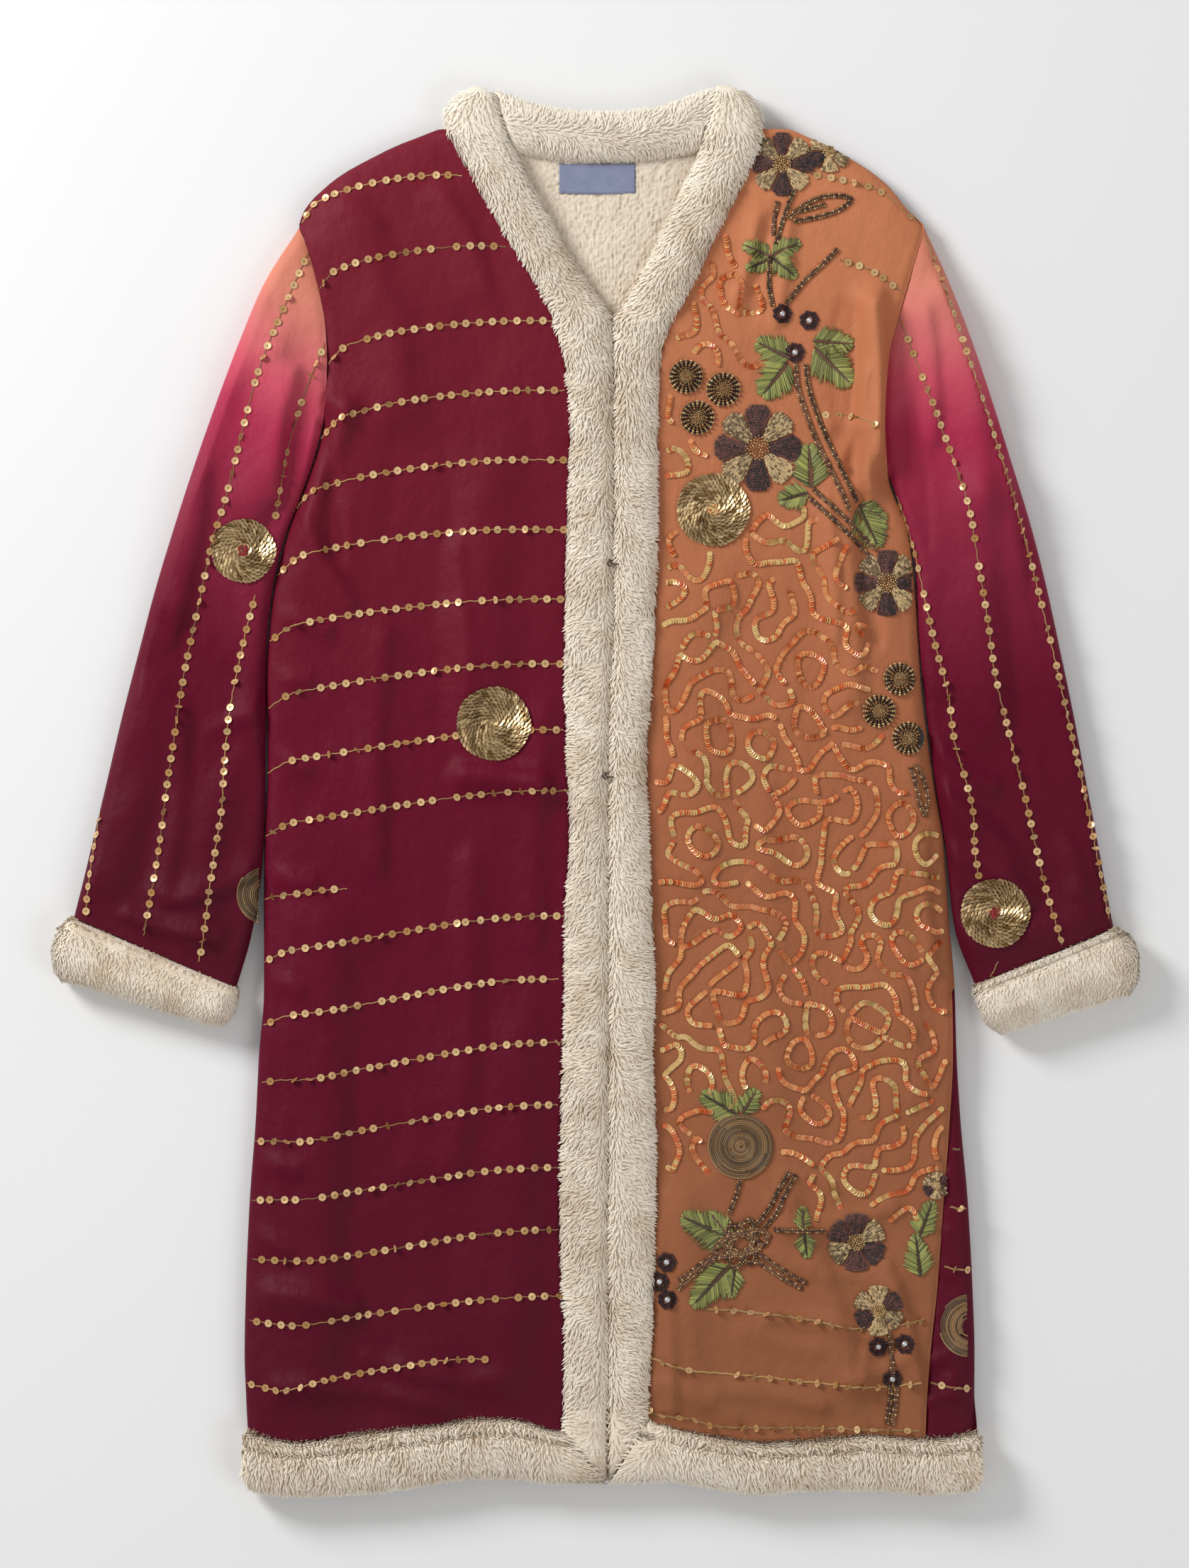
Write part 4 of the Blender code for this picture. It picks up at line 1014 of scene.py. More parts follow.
class Strip:
    """A strip of fur as a profile carried along the way from its first to its
    last section. A section stands on the line from start to end."""

    def __init__(self, starts, ends, low, heights, profile):
        self.starts, self.ends = np.asarray(starts, float), np.asarray(ends, float)
        self.low = low
        self.heights = np.broadcast_to(np.asarray(heights, float), len(self.starts))
        self.profile = through(profile, 0.01)
        middle = (self.starts + self.ends) / 2.0
        self.length = float(np.linalg.norm(np.diff(middle, axis=0), axis=1).sum())
        across = np.linalg.norm(self.ends - self.starts, axis=1).mean()
        sized = self.profile * (across, self.heights.mean())
        self.girth = float(np.linalg.norm(np.diff(sized, axis=0), axis=1).sum())
        self.hand = 1.0
        u, v = np.meshgrid(np.linspace(0.1, 0.9, 9), np.linspace(0.1, 0.9, 9))
        heart = np.array([np.interp(v, np.linspace(0.0, 1.0, len(middle)), middle[:, k])
                          for k in (0, 1)] + [np.full(v.shape, low + self.heights.mean() * 0.4)])
        outwards = self.at(u, v) - np.moveaxis(heart, 0, -1)
        self.hand = float(np.sign((self.frame(u, v)[2] * outwards).sum()))

    def at(self, u, v):
        """Points: u runs round the profile and v along the strip, 0 to 1. The
        roll swells and sinks a little, by smooth random cells."""
        rows = np.linspace(0.0, 1.0, len(self.starts))
        round_it = np.linspace(0.0, 1.0, len(self.profile))
        across = np.interp(u, round_it, self.profile[:, 0])
        up = np.interp(u, round_it, self.profile[:, 1])
        start = [np.interp(v, rows, self.starts[:, k]) for k in (0, 1)]
        end = [np.interp(v, rows, self.ends[:, k]) for k in (0, 1)]
        height = np.interp(v, rows, self.heights)
        swell = 1.0 + 0.09 * (cells(v * self.length / 23.0, u * 4.0, 77) - 0.5) * (up > 0.2)
        return np.stack([start[0] + (end[0] - start[0]) * across,
                         start[1] + (end[1] - start[1]) * across,
                         self.low + height * up * swell], axis=-1)

    def frame(self, u, v):
        """Unit directions across the strip, along it, and out of it."""
        e = 0.004
        across = self.at(u + e, v) - self.at(u - e, v)
        along = self.at(u, v + e) - self.at(u, v - e)
        across /= np.linalg.norm(across, axis=-1, keepdims=True) + 1e-9
        along /= np.linalg.norm(along, axis=-1, keepdims=True) + 1e-9
        out = np.cross(across, along)
        out *= self.hand / (np.linalg.norm(out, axis=-1, keepdims=True) + 1e-9)
        return across, along, out

    def grid(self, spacing):
        """A grid of points over the strip."""
        rows = max(int(self.length / spacing), 6)
        around = max(int(self.girth / spacing), 8)
        u, v = np.meshgrid(np.linspace(0.0, 1.0, around), np.linspace(0.0, 1.0, rows))
        return self.at(u, v)


# Length of a lock on the cuffs, where the pile is shorter.
CUFF_LOCK = 5.4

# The start of a cuff, a narrow roll along the sleeve: places, as numbers of its
# table's rows, and heights.
CUFF_ROLL = [(-0.15, 19.0), (0.0, 25.0), (0.16, 28.5), (0.36, 17.0), (0.58, 29.5)]

FUR_ROLL = [(0.02, 0.02), (0.0, 0.24), (0.01, 0.46), (0.07, 0.66), (0.20, 0.79), (0.40, 0.84),
            (0.62, 0.84), (0.82, 0.80), (0.94, 0.68), (0.985, 0.46), (0.99, 0.24), (0.985, 0.02)]
HEM_ROLL = [(0.02, 0.02), (0.0, 0.24), (0.01, 0.50), (0.06, 0.70), (0.13, 0.76), (0.19, 0.70),
            (0.225, 0.58), (0.26, 0.70), (0.36, 0.80), (0.50, 0.84), (0.66, 0.84), (0.82, 0.80),
            (0.94, 0.68), (0.985, 0.46), (0.99, 0.24), (0.985, 0.02)]
FLAT_ROLL = [(0.02, 0.02), (0.02, 0.94), (0.5, 0.97), (0.90, 0.93), (0.97, 0.55), (0.90, 0.06)]


def evened(points, count):
    """The points of a line, spread evenly along a smooth curve through them."""
    line = through(points, 4.0)
    at = np.linspace(0.0, len(line) - 1.0, count)
    return np.stack([np.interp(at, np.arange(len(line)), line[:, k]) for k in (0, 1)], 1)


def level_line(name, levels):
    """A line through the sections' column of that name at these heights."""
    return np.column_stack([read(SECTIONS, "y", name, levels), levels])


def band_strip(side, heads, hem_edge, sign):
    """A front band: from its head over the shoulder, down the neck and the front
    edge, to the mitre at the hem. Both edges are matched by their heights."""
    levels = np.concatenate([column(SECTIONS, "y")[:1], np.linspace(518.0, LAST_LEVEL, 180)])
    outer = [[h.outer, h.y] for h in heads] + level_line("edge_" + side, levels).tolist()
    inner = [[h.inner, h.y] for h in heads] + level_line("neck_" + side, levels).tolist()
    outer += [[hem_edge - (hem_edge - outer[-1][0]) * 0.5, (LAST_LEVEL + hem_top(hem_edge)) / 2.0],
              [hem_edge, float(hem_top(hem_edge))]]
    inner += [[CENTRE_HEM[0], (LAST_LEVEL + CENTRE_HEM[1]) / 2.0], list(CENTRE_HEM)]
    heights = np.full(len(outer), FUR_HEIGHT)
    heights[:3] = (0.72 * FUR_HEIGHT, 0.90 * FUR_HEIGHT, 0.96 * FUR_HEIGHT)
    return Strip(outer, np.array(inner) + (sign * SEAM, 0.0), UPPER, heights, FUR_ROLL)


def hem_strip(sign, first, last, side_end):
    """The fur along the hem of a front, from the side to the mitre."""
    x = np.linspace(first, last, 90)
    starts = np.column_stack([x, hem_top(x)])
    ends = np.column_stack([x, hem_end(x)])
    starts = np.vstack([[side_end[0]], starts])
    ends = np.vstack([[side_end[1]], ends])
    mitre = smoothstep((np.arange(len(ends)) - (len(ends) - 9)) / 8.0)[:, None]
    ends = ends + (np.array([CENTRE_HEM[0] + sign * 2.0, CENTRE_HEM[1] - 1.0]) - ends[-1]) * mitre
    heights = np.full(len(x) + 1, FUR_HEIGHT + 1.0)
    heights[0] *= 0.8
    return Strip(starts, ends, UPPER, heights, HEM_ROLL)


def folded_ring(fold):
    """The outline of a flat tube as a profile, from one fold over the top and
    back underneath: half circles at the folds and straight runs between."""
    turn = np.linspace(0.5 * np.pi, 1.5 * np.pi, 12)[6:]
    near = [(fold - fold * math.cos(a - np.pi), 0.5 + 0.5 * math.sin(a - np.pi)) for a in turn]
    top = [(x, 1.0) for x in np.linspace(fold, 1.0 - fold, 14)[1:-1]]
    half = [(x, y) for x, y in near] + top + [(1.0 - x, y) for x, y in near[::-1]]
    return half + [(1.0 - x, 1.0 - y) for x, y in half[1:]]


def cuff_strip(rows):
    """A cuff as a closed profile carried from the sleeve's end to the opening.
    A narrow roll lies along the sleeve, and the last ring turns inwards."""
    last = len(rows) - 0.75
    known = CUFF_ROLL + [(i, rows[i].height * 0.86) for i in range(1, len(rows))]
    knots, heights = np.transpose(known + [(last, rows[-1].height * 0.5)])
    at = np.linspace(knots[0], last, 54)
    ends = fold_ends(rows, at)
    return Strip(np.stack(ends[:2], 1), np.stack(ends[2:], 1), 0.9,
                 smooth_read(knots, heights, at), folded_ring(0.11))


def pile(name, strip, material, comb, seed, reach, length=None):
    """Fur on a strip: tapered locks on a jittered grid. A lock leans along its
    comb, rises from the skin and bends over, as t runs from 0 to 1: along by
    t to the power 1.3, up by t less 0.45 t squared. It is widest at a third."""
    c = coat()
    rng = np.random.default_rng(seed)
    spacing = c.lock_spacing * 1000.0
    length = c.lock_length * 1000.0 if length is None else length
    rows, around = int(strip.length / spacing), int(strip.girth / spacing)
    v, u = np.meshgrid(np.arange(rows), np.arange(around), indexing="ij")
    u = (u + 0.5 * (v % 2) + rng.uniform(-0.45, 0.45, u.shape)).ravel() / around
    v = (v + rng.uniform(-0.45, 0.45, v.shape)).ravel() / rows
    keep = (u > reach[0]) & (u < reach[1]) & (v > 0.002) & (v < 0.998)
    u, v = u[keep], v[keep]
    root = strip.at(u, v)
    across, along, out = strip.frame(u, v)
    lean_across, lean_along = comb(u, v)
    turn = (cells(v * strip.length / 9.0, u * strip.girth / 8.0, seed + 1) - 0.5) * 1.5
    turn += (cells(v * strip.length / 31.0, u * 3.0, seed + 2) - 0.5) * 0.9
    turn += rng.normal(0.0, 0.20, len(u))
    side = lean_across * np.cos(turn) - lean_along * np.sin(turn)
    down = lean_across * np.sin(turn) + lean_along * np.cos(turn)
    lean = across * side[:, None] + along * down[:, None]
    lean /= np.linalg.norm(lean, axis=1, keepdims=True) + 1e-9
    width_way = np.cross(lean, out)
    size = length * rng.uniform(0.72, 1.15, len(u))
    edge = np.exp(-(u / 0.13) ** 2) + np.exp(-((1.0 - u) / 0.13) ** 2)
    rise = rng.uniform(0.36, 0.58, len(u)) + 0.35 * edge
    wide = spacing * rng.uniform(0.75, 1.1, len(u))
    points, normals, along_lock = [], [], []
    for t, share, ends in ((0.0, 0.8, 2), (0.4, 1.0, 2), (0.75, 0.7, 2), (1.0, 0.0, 1)):
        spine = root - out * 0.8 + lean * (size * 0.82 * t ** 1.3)[:, None]
        spine = spine + out * (size * rise * (t - 0.45 * t * t) * 1.25)[:, None]
        for end in ((-1.0, 1.0) if ends == 2 else (0.0,)):
            points.append(spine + width_way * (end * wide * share / 2.0)[:, None])
            normals.append(out * 0.85 + width_way * (0.42 * end) + lean * 0.25 * (t - 0.3))
            along_lock.append(np.full(len(u), t))
    points, normals = np.stack(points, 1), np.stack(normals, 1)
    normals /= np.linalg.norm(normals, axis=-1, keepdims=True)
    uv = np.stack([np.repeat(rng.random(len(u))[:, None], 7, 1), np.stack(along_lock, 1)], -1)
    first = (np.arange(len(u)) * 7)[:, None]
    four = np.concatenate([first + (0, 1, 3, 2), first + (2, 3, 5, 4)])
    three = first + (4, 5, 6)
    points[..., 2] = np.maximum(points[..., 2], 0.15)
    return make(name, points, [four, three], material,
                uv=uv.reshape(-1, 2), normals=normals.reshape(-1, 3))


def mouth(name, strip, material):
    """The inside of a cuff: its last ring narrows to a slit and runs back in."""
    u = np.linspace(0.0, 1.0, 90)
    ring = strip.at(u, np.ones_like(u))
    middle, last = ring.mean(axis=0), strip.at(u, np.full_like(u, 0.5))
    back = last.mean(axis=0) - middle
    rows = []
    for wide, tall, into in ((1.0, 1.0, 0.0), (0.97, 0.72, 0.0), (0.93, 0.34, 0.10),
                             (0.90, 0.22, 0.5), (0.90, 0.20, 1.3)):
        rows.append(middle + (ring - middle) * (wide, wide, tall) + back * (into, into, 0.0))
    faces = quads(len(rows), len(u))
    if strip.hand > 0.0:
        faces = faces[:, ::-1]
    return make(name, np.array(rows), [faces], material)


def skin(name, strip, material, node, capped=True):
    """The strip itself, under the pile, closed at both ends if it is capped."""
    turn = -1 if strip.hand > 0.0 else 1
    grid = strip.grid(3.0)
    rows, around = grid.shape[:2]
    if not capped:
        return make(name, grid, [quads(rows, around)[:, ::turn]], material,
                    replaces=[node])
    base = np.arange(rows) * around
    under = np.stack([base[:-1], base[1:], base[1:] + around - 1, base[:-1] + around - 1], 1)
    near, far = np.arange(around - 1), np.arange(1, around)
    middle, shift = np.full(around - 1, rows * around), (rows - 1) * around
    ends = np.concatenate([np.stack([middle, far, near], 1),
                           np.stack([middle + 1, near + shift, far + shift], 1)])
    faces = [np.concatenate([quads(rows, around), under])[:, ::turn], ends[:, ::turn]]
    points = np.vstack([grid.reshape(-1, 3), grid[[0, -1]].mean(axis=1)])
    return make(name, points, faces, material, replaces=[node])


# Lining, label and hooks.

def lining_grid():
    """The pile lining in the neck: rows from the neck's seam down to the V's
    point. Curls stand up by the ridges of smooth random cells at two scales."""
    step = 1.15
    y = np.linspace(500.0, 376.0, int(124.0 / step))
    left = read(SECTIONS, "y", "neck_r", y) - 4.0
    right = read(SECTIONS, "y", "neck_l", y) + 4.0
    share = np.linspace(0.0, 1.0, int(150.0 / step))
    x = left[:, None] + (right - left)[:, None] * share[None, :]
    seam = read(NECK, "seam_x", "seam_y", x)
    bend = np.linspace(1.0, 0.0, len(y))[:, None] ** 2
    rows = y[:, None] + (seam - y[0]) * bend
    curl = 1.0 - np.abs(cells(x / 2.9 + 4.0, rows / 2.5, 61) * 2.0 - 1.0)
    fine = 1.0 - np.abs(cells(x / 1.5, rows / 1.4 + 9.0, 62) * 2.0 - 1.0)
    wide = cells(x / 26.0, rows / 20.0, 63)
    rise = curl * 0.62 + fine * 0.38
    z = LINING_TOP - 1.6 + rise * 2.3 + wide * 1.4
    return np.stack([x, rows, z], axis=-1), rise


# The label's middle, its half sizes and the level of its edge.
LABEL_MIDDLE = (1.5, 487.5)
LABEL_HALF = (30.5, 12.0)
LABEL_LEVEL = 14.6


def on_label(u, v, level):
    """Points of the label from shares of its half sizes, -1 to 1: its long
    edges bend a little, and a shallow wave is added to the level."""
    x = LABEL_MIDDLE[0] + LABEL_HALF[0] * u
    y = LABEL_MIDDLE[1] + LABEL_HALF[1] * v - 0.9 * (1.0 - u * u)
    return np.stack([x, y, level + 0.35 * np.sin(u * 3.0 + 0.4)], axis=-1)


def label_parts():
    """The woven label, a thin slab whose edges turn under, and the places of
    the stitches round it, with a mark on those that stand upright."""
    u, v = np.meshgrid(np.linspace(-1.0, 1.0, 62), np.linspace(-1.0, 1.0, 30))
    away = np.minimum((1.0 - np.abs(u)) * LABEL_HALF[0], (1.0 - np.abs(v)) * LABEL_HALF[1])
    top = on_label(u, v, LABEL_LEVEL + 0.7 * quarter(away / 0.8))
    count = 58
    along = np.linspace(-0.955, 0.955, count)
    tall = np.linspace(-0.86, 0.86, 20)
    spots = np.vstack([np.column_stack([along, np.full(count, 0.88)]),
                       np.column_stack([along, np.full(count, -0.88)]),
                       np.column_stack([np.full(20, 0.965), tall]),
                       np.column_stack([np.full(20, -0.965), tall])])
    upright = np.repeat([False, False, True, True], (count, count, 20, 20))
    return top, spots, upright


def dashes(centres, directions, ups, length, radius):
    """Short raised stitches: a four-sided spindle, pointed at both ends."""
    count = len(centres)
    side = np.cross(ups, directions)
    points = [centres - directions * length / 2.0, centres + directions * length / 2.0]
    for a, b in ((1.0, 0.0), (0.0, 1.0), (-1.0, 0.0), (0.0, -0.6)):
        points.append(centres + side * (a * radius) + ups * (b * radius))
    points = np.stack(points, 1)
    first = (np.arange(count) * 6)[:, None]
    ring = [(2, 3), (3, 4), (4, 5), (5, 2)]
    faces = np.concatenate([first + (0, b, a) for a, b in ring]
                           + [first + (1, a, b) for a, b in ring])
    return points.reshape(-1, 3), faces


def tube(path, radius, around=6, roundness=1.0):
    """A tube round a path: at each point a ring square to the path, closed by a
    point at both ends."""
    path = np.asarray(path, float)
    run = np.gradient(path, axis=0)
    run /= np.linalg.norm(run, axis=1, keepdims=True) + 1e-9
    side = np.cross(UP_WAY, run)
    side /= np.linalg.norm(side, axis=1, keepdims=True) + 1e-9
    up = np.cross(run, side)
    turn = np.arange(around) * TAU / around
    radius = np.broadcast_to(np.asarray(radius, float), len(path))[:, None, None]
    ring = (side[:, None] * np.cos(turn)[None, :, None]
            + up[:, None] * np.sin(turn)[None, :, None] * roundness)
    points = path[:, None] + ring * radius
    flat = points.reshape(-1, 3)
    count = len(flat)
    k = np.arange(around)
    j = (k + 1) % around
    last = count - around
    faces = [quads(len(path), around, closed=True)[:, ::-1],
             np.concatenate([np.stack([np.full(around, count), k, j], 1)[:, ::-1],
                             np.stack([np.full(around, count + 1), k + last, j + last], 1)])]
    return np.vstack([flat, path[0], path[-1]]), faces


# The hooks, with how far up the coat each is. They lie on the fur, where the
# two bands meet.
HOOKS = [("hook_upper", 180.0), ("hook_lower", 11.0)]
HOOK_LEVEL = UPPER + FUR_HEIGHT * 0.86
WIRE_RADIUS = 0.6


# Embroidery.

SEQUIN_RADIUS = 3.1
RIBBON_RADIUS = 2.4      # of a ribbon's sequin
RIBBON_GAP = 6.0         # least distance from a ribbon to the ones before it
SEED_GAP = 6.5           # the same for the place where a ribbon starts
MOTIF_GAP = 5.5          # least distance from a ribbon to a raised motif
STEM_GAP = 7.5           # the same for stems, leaves and the knot
THREAD_RADIUS = 0.46     # of a string's thread
COIL_PITCH = 1.45        # distance between two rounds of a coil
COIL_RADIUS = 0.72       # of a coil's thread
GOLDEN_ANGLE = 2.39996   # in radians

# Rows of sequins across the front of the wearer's right, as places in the
# photograph: both ends, how steeply it rises at first, and how far it sags.
Row = namedtuple("Row", "x0 y0 x1 y1 steep sag")
ROWS_RIGHT = table(Row, [
    (426, 315, 652, 249, 1, 0), (451, 409, 714, 349, 1, 0),
    (463, 514, 778, 454, 1, 0), (453, 619, 796, 552, 1, 0),
    (413, 721, 800, 650, 1, 0), (392, 811, 797, 748, 1, 0),
    (381, 905, 798, 846, 0.9, 0), (379, 999, 792, 937, 0.8, 0),
    (377, 1091, 794, 1030, 0.7, 0), (375, 1180, 800, 1116, 0.7, 0),
    (374, 1269, 490, 1254, 0.6, 0), (373, 1357, 796, 1292, 0.6, 0),
    (372, 1446, 788, 1381, 0.5, 0), (369, 1525, 795, 1470, 0.3, 6),
    (360, 1608, 787, 1558, 0.2, 7), (355, 1692, 790, 1646, 0.2, 4),
    (356, 1775, 788, 1734, 0, 2), (352, 1860, 790, 1827, 0, 8),
    (348, 1948, 686, 1916, 0, 11),
])

# Rows of sequins along the sleeves, as places in the photograph.
ROWS_SLEEVE_R = [
    [(435, 358), (394, 452), (367, 522), (346, 598), (322, 695), (301, 763), (280, 857),
     (261, 948), (249, 1029), (237, 1107), (228, 1179), (217, 1247), (204, 1320)],
    [(459, 485), (435, 543), (410, 621), (397, 688), (389, 730)],
    [(361, 840), (342, 915), (327, 988), (318, 1065), (314, 1139), (306, 1192), (298, 1249),
     (288, 1326), (281, 1356)],
    [(142, 1145), (131, 1208), (124, 1263), (122, 1292)],
]
ROWS_SLEEVE_L = [
    [(1269, 451), (1293, 515), (1320, 585), (1346, 657), (1367, 728), (1380, 808), (1392, 882),
     (1403, 958), (1424, 1042), (1444, 1120), (1461, 1197), (1475, 1257), (1496, 1332)],
    [(1265, 700), (1287, 769), (1301, 832), (1316, 902), (1337, 982), (1346, 1048),
     (1369, 1134), (1374, 1202), (1380, 1240)],
    [(1407, 1356), (1396, 1378)],
]
ROW_SLEEVE_L_OUTER = [
    (1305, 338), (1334, 415), (1361, 497), (1387, 572), (1410, 644), (1432, 717), (1453, 792),
    (1471, 864), (1489, 938), (1510, 1034), (1527, 1110), (1542, 1185), (1553, 1240), (1564, 1296),
]
ROWS_LEFT = [
    [(1143, 247), (1200, 258), (1239, 270), (1272, 295), (1289, 312)],
    [(1184, 368), (1228, 383), (1272, 414)],
    [(1151, 586), (1199, 588), (1236, 604)],
]
CHAINS_LEFT = [
    [(996, 1845), (1060, 1850), (1136, 1859), (1206, 1872), (1260, 1868), (1302, 1862)],
    [(917, 1914), (973, 1931), (1060, 1940), (1159, 1950), (1240, 1955), (1298, 1949)],
    [(915, 1970), (920, 1992), (973, 2000), (1020, 2012), (1159, 2014), (1296, 2017)],
]
CHAINS_TURNED = [
    [(1343, 1620), (1348, 1621), (1353, 1621)], [(1339, 1702), (1350, 1704), (1362, 1705)],
    [(1331, 1786), (1348, 1790), (1367, 1791)], [(1312, 1950), (1345, 1956), (1369, 1958)],
]

# Beaded stems and outlines of the wearer's left front, in the same way.
STEMS = [
    [(1143, 211), (1128, 250), (1108, 300), (1094, 345)],
    [(1096, 287), (1092, 310), (1090, 332)],
    [(1111, 310), (1138, 288), (1168, 278), (1199, 281), (1186, 296), (1160, 306), (1120, 314)],
    [(1118, 301), (1140, 296), (1162, 290)],
    [(1086, 364), (1084, 400), (1089, 432)],
    [(1109, 429), (1134, 398), (1158, 376), (1180, 354)],
    [(1122, 512), (1125, 547), (1138, 589), (1155, 631), (1176, 674), (1197, 720)],
    [(1136, 516), (1140, 547), (1152, 585), (1169, 626), (1189, 668), (1208, 708)],
    [(1148, 692), (1180, 722), (1212, 752), (1234, 775)],
    [(1140, 702), (1172, 732), (1204, 762), (1226, 786)],
    [(1043, 1664), (1037, 1688), (1028, 1710)],
    [(1052, 1740), (1078, 1712), (1096, 1680), (1112, 1652)],
    [(1062, 1746), (1090, 1716), (1106, 1684), (1121, 1657)],
    [(1030, 1760), (1004, 1772), (980, 1788), (958, 1804)],
    [(1022, 1768), (998, 1782), (976, 1798), (956, 1816)],
    [(1070, 1768), (1094, 1784), (1116, 1798), (1136, 1808)],
    [(1064, 1776), (1088, 1792), (1110, 1806), (1130, 1816)],
    [(1092, 1733), (1126, 1734), (1162, 1735)],
    [(1252, 1866), (1256, 1900), (1258, 1938)],
    [(1256, 1954), (1254, 1980), (1250, 2006)],
    [(1264, 1956), (1262, 1982), (1258, 2008)],
    [(1292, 1080), (1302, 1100), (1308, 1126), (1304, 1150)],
    [(1284, 1084), (1292, 1108), (1296, 1132), (1304, 1150)],
]

# Leaves: base and tip in the photograph, and the share of the length that a
# half is wide.
Leaf = namedtuple("Leaf", "x0 y0 x1 y1 width")
LEAVES = table(Leaf, [
    (1086, 362, 1046, 346, 0.30), (1086, 366, 1050, 382, 0.28),
    (1088, 362, 1130, 342, 0.30), (1090, 366, 1124, 394, 0.30),
    (1114, 506, 1064, 482, 0.34), (1112, 512, 1072, 562, 0.36),
    (1146, 482, 1206, 486, 0.32), (1148, 490, 1204, 546, 0.32),
    (1144, 690, 1140, 624, 0.34), (1140, 696, 1096, 708, 0.36),
    (1212, 714, 1240, 776, 0.34), (1212, 712, 1252, 736, 0.28),
    (1040, 1572, 986, 1540, 0.30), (1046, 1570, 1068, 1534, 0.34),
    (1034, 1748, 956, 1712, 0.28), (1028, 1744, 1000, 1708, 0.30),
    (1030, 1784, 972, 1844, 0.28), (1036, 1788, 1030, 1832, 0.28),
    (1131, 1732, 1132, 1700, 0.34), (1133, 1738, 1138, 1774, 0.34),
    (1298, 1800, 1290, 1736, 0.26), (1296, 1744, 1316, 1690, 0.26),
])

# Middle of the beaded knot, in millimetres.
KNOT = np.array([116.0, -361.0])

# Raised motifs, as in the solids: centre, radius, petals and the range of x
# that they may cover. The look names the filling.
Motif = namedtuple("Motif", "node cloth x y radius petals low high look")
MOTIFS = table(Motif, [
    ("disc_front_right", "right", -81, 52.5, 29, 0, -FAR, FAR, "sequins"),
    ("disc_sleeve_right_upper", "sleeve_r", -280, 190, 25, 0, -FAR, -256,
          "red_centre"),
    ("disc_sleeve_right_lower", "sleeve_r", -262, -84, 24, 0, -FAR, -268, "coil"),
    ("disc_sleeve_left", "sleeve_l", 318, -98, 27, 0, 291, FAR, "red_centre"),
    ("disc_chest", "left", 93.5, 222.5, 28.5, 0, -FAR, FAR, "orange_centre"),
    ("disc_skirt", "left", 115.5, -283.5, 27, 0, -FAR, FAR, "coil"),
    ("disc_back", "turned", 298, -427, 26, 0, 274, 296, "coil"),
    ("flower_shoulder", "left", 148.5, 498, 25, 8, 126, FAR, "mixed"),
    ("flower_chest", "left", 129, 272, 33.5, 8, -FAR, FAR, "mixed"),
    ("flower_side", "left", 232, 164.5, 27, 8, -FAR, 252, "mixed"),
    ("flower_skirt", "left", 207.5, -360, 24, 6, -FAR, FAR, "dark"),
    ("flower_cluster", "left", 225, -414, 20, 6, -FAR, FAR, "golden"),
    ("rosette_chest_a", "left", 72, 328.5, 14, 0, -FAR, FAR, "rosette"),
    ("rosette_chest_b", "left", 101.5, 318.5, 14, 0, -FAR, FAR, "rosette"),
    ("rosette_chest_c", "left", 81, 296, 14, 0, -FAR, FAR, "rosette"),
    ("rosette_side_a", "left", 242, 88, 13.5, 0, -FAR, FAR, "rosette"),
    ("rosette_side_b", "left", 225.5, 62.5, 13.5, 0, -FAR, FAR, "rosette"),
    ("rosette_side_c", "left", 249, 41, 13.5, 0, -FAR, FAR, "rosette"),
])
SMALL_MOTIFS = table(Motif, [
    ("fan_shoulder", "left", 186, 508, 17, 6, 172, FAR, "golden"),
    ("bud_side", "left", 271, -315, 11, 6, 250, 279, "golden"),
])
SMALL_FLOWERS = [
    (1103, 444), (1141, 453), (1121, 498), (1238, 1898), (1275, 1894), (1258, 1944),
    (940, 1779), (930, 1807), (941, 1831),
]

# The right-hand limit of the ribbons, in the photograph.
RIBBON_LIMIT = [
    (1060, 290), (1082, 400), (1062, 600), (1078, 660), (1185, 700), (1208, 780), (1222, 880),
    (1286, 950), (1322, 1200), (1332, 1500), (1322, 1650), (1290, 1730),
]


